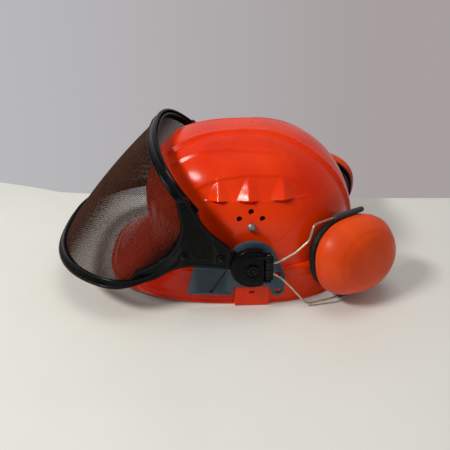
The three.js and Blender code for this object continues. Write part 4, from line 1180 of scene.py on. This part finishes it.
    # hinge pin of the carrier, with domed ends
    rr = [(0.3, -15.5), (1.1, -15.3), (1.6, -14.7), (1.6, 14.7), (1.1, 15.3), (0.3, 15.5)]
    V, F = loft([[(OUT_X + r * math.cos(t), OUT_Y + r * math.sin(t), HZ + z) for t in np.arange(28) / 28 * 2 * math.pi] for r, z in rr])
    make("carrier_pin_visual_" + tag, V, F, MAT["steel"], "hub_" + tag, ("carrier_pin_" + tag,), 40, sd)

# ---------------------------------------------------------------- suspension
BD = dict(a=78, b=88, yc=-5, ySide=45, z0=24, z1=50, t=1.8)


def band_line(p):
    side = BD["ySide"] - BD["yc"]
    arc_l = 235.0
    d = p * (side * 2 + arc_l)
    if d < side:
        return np.array([BD["a"], BD["ySide"] - d, 0]), np.array([1.0, 0, 0])
    if d > side + arc_l:
        return np.array([-BD["a"], BD["yc"] + (d - side - arc_l), 0]), np.array([-1.0, 0, 0])
    t = (d - side) / arc_l * math.pi
    return (np.array([BD["a"] * math.cos(t), BD["yc"] - BD["b"] * math.sin(t), 0]),
            unit(np.array([math.cos(t) / BD["a"], -math.sin(t) / BD["b"], 0])))


def band_strip(p0, p1, n, sec):
    rings = []
    for i in range(n + 1):
        c, k = band_line(mix(p0, p1, i / n))
        rings.append([np.array([c[0] + k[0] * o, c[1] + k[1] * o, z]) for o, z in sec])
    return loft(rings)


hb = [(-0.6, 24.0), (0.6, 24.0), (0.9, 24.4), (0.9, 26.2), (0.5, 26.8), (0.5, 47.2), (0.9, 47.8), (0.9, 49.6), (0.6, 50.0), (-0.6, 50.0), (-0.9, 49.6), (-0.9, 24.4)]
V, F = band_strip(0, 1, 150, hb)
make("headband_visual", V, F, MAT["band"], "helmet", ("headband",), 40)

# sweatband: a padded strip, quilted in short cells
rings = []
NSW, cells = 220, 16
for i in range(NSW + 1):
    p = mix(0.22, 0.78, i / NSW)
    c, k = band_line(p)
    puff = abs(math.sin(math.pi * cells * i / NSW)) ** 0.45
    end = min(1.0, min(i, NSW - i) / 5 + 0.35)
    th_ = (1.2 + 2.3 * puff) * end
    sec = []
    for q in np.linspace(0, 1, 13):
        z = mix(23.2, 50.8, q)
        edge = math.sin(math.pi * min(max(q, 0.0), 1.0)) ** 0.35 if 0 < q < 1 else 0.12
        sec.append((-0.9 - 0.4 - 0.25 - th_ * edge, z))
    sec = [(-1.35, 50.8)] + [(-1.35, 37), (-1.35, 23.2)] + sec
    rings.append([np.array([c[0] + k[0] * o, c[1] + k[1] * o, z]) for o, z in sec])
V, F = loft(rings)
swb = make("sweatband_visual", V, F, MAT["sweat"], "helmet", ("sweatband",), 70)

# nape band
NP_ = dict(a=75.2, b=46, z0=24, z1=44, t=1.6, dip=16)
rings = []


def nape_ring(x, y, nx, ny, dip, teeth=0.0):
    t2 = NP_["t"] / 2
    sec = [(-t2, NP_["z0"] + 0.4), (-t2 + 0.3, NP_["z0"]), (t2 - 0.3, NP_["z0"]), (t2, NP_["z0"] + 0.4), (t2, 30), (t2 - 0.5, 30.6), (t2 - 0.5, 37.4), (t2, 38),
           (t2, NP_["z1"] - 0.4), (t2 - 0.3, NP_["z1"]), (-t2 + 0.3, NP_["z1"]), (-t2, NP_["z1"] - 0.4)]
    rings.append([np.array([x + nx * o, y + ny * o, z - dip]) for o, z in sec])


for y in np.linspace(12, 45, 14):
    nape_ring(NP_["a"], y, 1, 0, 0)
for i in range(1, 80):
    t = i / 80 * math.pi
    k = unit(np.array([math.cos(t) / NP_["a"], math.sin(t) / NP_["b"]]))
    nape_ring(NP_["a"] * math.cos(t), 45 + NP_["b"] * math.sin(t), k[0], k[1], NP_["dip"] * float(smooth(0.05, 0.8, math.sin(t))))
for y in np.linspace(45, 12, 14):
    nape_ring(-NP_["a"], y, -1, 0, 0)
V, F = loft(rings)
make("nape_band_visual", V, F, MAT["band"], "nape", ("nape_band",), 40)

# ratchet housing and knob
NY = 45 + NP_["b"] + NP_["t"] / 2
prof = round_outline([(-27, 6), (27, 6), (27, 30), (-27, 30)], 6, 8)
v = [(x, NY + 0.4, z) for x, z in prof] + [(x, NY + 8, z) for x, z in prof]
n = len(prof)
f = [tuple(range(n)), tuple(range(2 * n - 1, n - 1, -1))] + [(j, (j + 1) % n, n + (j + 1) % n, n + j) for j in range(n)]
rh = temp("ratchet_housing_visual", v, f)
bevel(rh, 1.2, 3, 50)
a = np.arange(40) / 40 * 2 * math.pi
boolean(rh, [temp("t_k", *loft([[(3.4 * math.cos(t), y, 18 + 3.4 * math.sin(t)) for t in a] for y in (NY + 6, NY + 20)])),
             temp("t_k2", *loft([[(13.2 * math.cos(t), y, 18 + 13.2 * math.sin(t)) for t in a] for y in (NY + 7.5, NY + 20)]))])
finish_piece(rh, MAT["band"], "nape", ("ratchet_housing",), 35)
KN = 192
ka = np.arange(KN) / KN * 2 * math.pi
flute = 1 - 0.055 * np.clip(np.cos(ka * 16), 0, 1) ** 1.5
rings = []
for y, r, fl in ((6.4, 3.0, 0), (8.4, 3.0, 0), (8.5, 11.2, 0), (8.9, 11.8, 0.6), (9.6, 12, 1), (14.4, 12, 1), (15.3, 11.7, 0.9), (15.8, 10.9, 0.4), (16, 10, 0), (15.5, 9, 0), (15.4, 4.0, 0), (15.9, 3.2, 0), (16, 1.0, 0)):
    rings.append([((r * (1 + (flute[j] - 1) * fl)) * math.cos(ka[j]), NY + y, 18 + (r * (1 + (flute[j] - 1) * fl)) * math.sin(ka[j])) for j in range(KN)])
V, F = loft(rings)
make("ratchet_knob_visual", V, F, MAT["band"], "knob", ("ratchet_knob",), 45)

# ---------------------------------------------------------------- straps: woven webbing on the CAD straps' own path
CLIPS = [-38, 9, 66, 114, 171, 218]


def clip_frame(deg):
    phi = deg * RAD
    p = shell_outer(phi, 0.72)
    d = unit(shell_outer(phi + 1e-3, 0.719) - shell_outer(phi - 1e-3, 0.719))
    out = unit(np.array([d[1], -d[0], 0.0]))
    if out @ np.array([p[0], p[1] - DOME_YC, 0]) < 0:
        out = -out
    return np.array([p[0], p[1], 0.0]), out, np.array([-out[1], out[0], 0.0])


def build_strap(nm, da, db, top):
    pa, oa, _ = clip_frame(da)
    pb, ob, _ = clip_frame(db)
    a, b = pa - oa * 9, pb - ob * 9
    mid, half = (a + b) / 2, (b - a) / 2
    L = np.linalg.norm(half)
    d = half / L
    wide = np.array([-d[1], d[0], 0.0])
    z0 = 46.4
    rings = []
    n = 110
    for i in range(n + 1):
        q = i / n * math.pi
        x = -L * math.cos(q)
        z = z0 + (top - z0) * math.sin(q) ** (2 / 2.3)
        e = 1e-3
        q2, q1 = min(math.pi, q + e), max(0, q - e)
        tx = -L * (math.cos(q2) - math.cos(q1))
        tz = (top - z0) * (math.sin(q2) ** (2 / 2.3) - math.sin(q1) ** (2 / 2.3))
        nx, nz = -tz, tx
        l = math.hypot(nx, nz) or 1
        nx, nz = nx / l, nz / l
        if i in (0, n):
            nx, nz = (-1 if i == 0 else 1), 0
        # ribbed webbing: five cords across, selvedge on both sides
        sec = []
        us = np.linspace(-8, 8, 33)
        for u in us:
            t = 0.55 + 0.15 * abs(math.cos(u / 16 * 5 * math.pi)) if abs(u) < 7.6 else 0.35
            sec.append((u, t))
        sec += [(u, -t) for u, t in reversed(sec)]
        rings.append([mid + d * (x + nx * v) + wide * u + np.array([0, 0, z + nz * v]) for u, v in sec])
    V, F = loft(rings)
    make(nm + "_visual", V, F, MAT["webbing"], "helmet", (nm,), 60)


build_strap("crown_strap_a", CLIPS[0], CLIPS[3], 119)
build_strap("crown_strap_b", CLIPS[1], CLIPS[4], 129)
build_strap("crown_strap_c", CLIPS[5], CLIPS[2], 124)

# the clips keep their CAD shape, with the moulded plastic on them
for nme, o in NODES.items():
    if nme.startswith("harness_clip"):
        o.data.materials.clear()
        o.data.materials.append(MAT["band"])
        m = o.modifiers.new("bev", "BEVEL")
        m.width = 0.0006
        m.segments = 2
        m.limit_method = "ANGLE"
        m.angle_limit = 40 * RAD

# ---------------------------------------------------------------- stage, light, camera


def stage_mat(name, base, other, scale, rough):
    m, nt, b = new_mat(name)
    co = coords(nt)
    n1 = noise(nt, co, scale, 5, 0.6).outputs["Fac"]
    n2 = noise(nt, co, scale * 40, 3, 0.6).outputs["Fac"]
    nt.links.new(mixc(nt, maprange(nt, n1, 0, 1, 0.3, 0.7), base, other), b.inputs["Base Color"])
    b.inputs["Roughness"].default_value = rough
    b.inputs["Specular IOR Level"].default_value = 0.3
    nt.links.new(bump(nt, n2, 0.15, 0.0006), b.inputs["Normal"])
    return m


def quad(name, pts, mat):
    me = bpy.data.meshes.new(name)
    me.from_pydata(pts, [], [tuple(range(len(pts)))])
    me.materials.append(mat)
    o = bpy.data.objects.new(name, me)
    bpy.context.scene.collection.objects.link(o)
    return o


floor_m = stage_mat("floor_pale", srgb(238, 238, 231), srgb(230, 230, 222), 3, 0.6)
# table top with a rounded far edge, close behind the helmet; nothing stands behind it
edge = [(-0.32, -3.0), (-0.262, -0.70), (-0.239, -0.407), (-0.216, -0.345), (-0.192, -0.291), (-0.176, -0.20), (-0.163, -0.05), (-0.150, 0.08), (-0.140, 0.187), (-0.132, 0.325), (-0.10, 3.0)]
steps = [(0.0, -0.0005), (0.0012, -0.0008), (0.0026, -0.0018), (0.0034, -0.0036), (0.0036, -0.03)]
tv, tf = [], []
for off, zz in steps:
    tv += [(x - off, y + SY * MM, zz) for x, y in edge]
m_ = len(edge)
tv += [(3.0, -3.0, -0.0005), (3.0, 3.0, -0.0005)]
tf.append(tuple(range(m_)) + (len(tv) - 1, len(tv) - 2))
for k in range(len(steps) - 1):
    tf += [(k * m_ + j, k * m_ + j + 1, (k + 1) * m_ + j + 1, (k + 1) * m_ + j) for j in range(m_ - 1)]
tm = bpy.data.meshes.new("stage_floor")
tm.from_pydata(tv, [], tf)
tm.materials.append(floor_m)
bm = bmesh.new(); bm.from_mesh(tm); bmesh.ops.recalc_face_normals(bm, faces=bm.faces)
if bm.faces[:][0].normal.z < 0:
    bmesh.ops.reverse_faces(bm, faces=bm.faces)
bm.to_mesh(tm); bm.free()
tmo = bpy.data.objects.new("stage_floor", tm)
bpy.context.scene.collection.objects.link(tmo)


def area(name, loc, target, size, power, color=(1, 1, 1), size_y=None):
    l = bpy.data.lights.new(name, "AREA")
    l.energy = power
    l.color = color
    l.shape = "RECTANGLE" if size_y else "SQUARE"
    l.size = size
    if size_y:
        l.size_y = size_y
    o = bpy.data.objects.new(name, l)
    o.location = loc
    o.rotation_mode = "QUATERNION"
    o.rotation_quaternion = (Vector(target) - Vector(loc)).to_track_quat("-Z", "Y")
    bpy.context.scene.collection.objects.link(o)
    return o


w = bpy.data.worlds.new("world")
bpy.context.scene.world = w
w.use_nodes = True
wt = w.node_tree
sep = node(wt, "ShaderNodeSeparateXYZ")
wt.links.new(node(wt, "ShaderNodeTexCoord").outputs["Generated"], sep.inputs[0])
# a pale wall towards -X, a darker room on the other side
side_c = mixc(wt, maprange(wt, sep.outputs["Y"], 0, 1, -0.45, 0.30), (0.490, 0.492, 0.508, 1), (0.385, 0.345, 0.35, 1))
room_c = mixc(wt, maprange(wt, sep.outputs["X"], 0, 1, -0.5, 0.45), side_c, (0.17, 0.165, 0.16, 1))
wt.links.new(mixc(wt, maprange(wt, sep.outputs["Z"], 0, 1, 0.25, 0.9), room_c, (0.33, 0.33, 0.335, 1)), wt.nodes["Background"].inputs["Color"])
wt.nodes["Background"].inputs["Strength"].default_value = 1.0
area("key", (0.58, -0.95, 1.2), (0, 0, 0.05), 0.42, 13.6, (1, 0.985, 0.94), 0.2)
soft = area("top", (0.0, 0.1, 1.7), (0, 0.05, 0), 0.8, 5.5, (1, 0.99, 0.97))
soft.visible_glossy = False

cx, cy, cz, pitch, yaw, roll, foc = 526.12, -33.72, 331.0, 0.5096, -0.0157, -0.02, 480.0
fwd = np.array([-math.cos(pitch) * math.cos(yaw), -math.cos(pitch) * math.sin(yaw), -math.sin(pitch)])
right = unit(np.cross(fwd, [0, 0, 1.0]))
up = np.cross(right, fwd)
rr = right * math.cos(roll) + up * math.sin(roll)
uu = -right * math.sin(roll) + up * math.cos(roll)
cam = bpy.data.cameras.new("camera")
cam.sensor_width = 36
cam.lens = foc / 450 * 36
cam.clip_start, cam.clip_end = 0.01, 50
co = bpy.data.objects.new("camera", cam)
M = Matrix(((rr[0], uu[0], -fwd[0], cx * MM), (rr[1], uu[1], -fwd[1], (cy + SY) * MM), (rr[2], uu[2], -fwd[2], cz * MM), (0, 0, 0, 1)))
co.matrix_world = M
bpy.context.scene.collection.objects.link(co)
bpy.context.scene.camera = co
bpy.context.scene.view_settings.view_transform = "Standard"
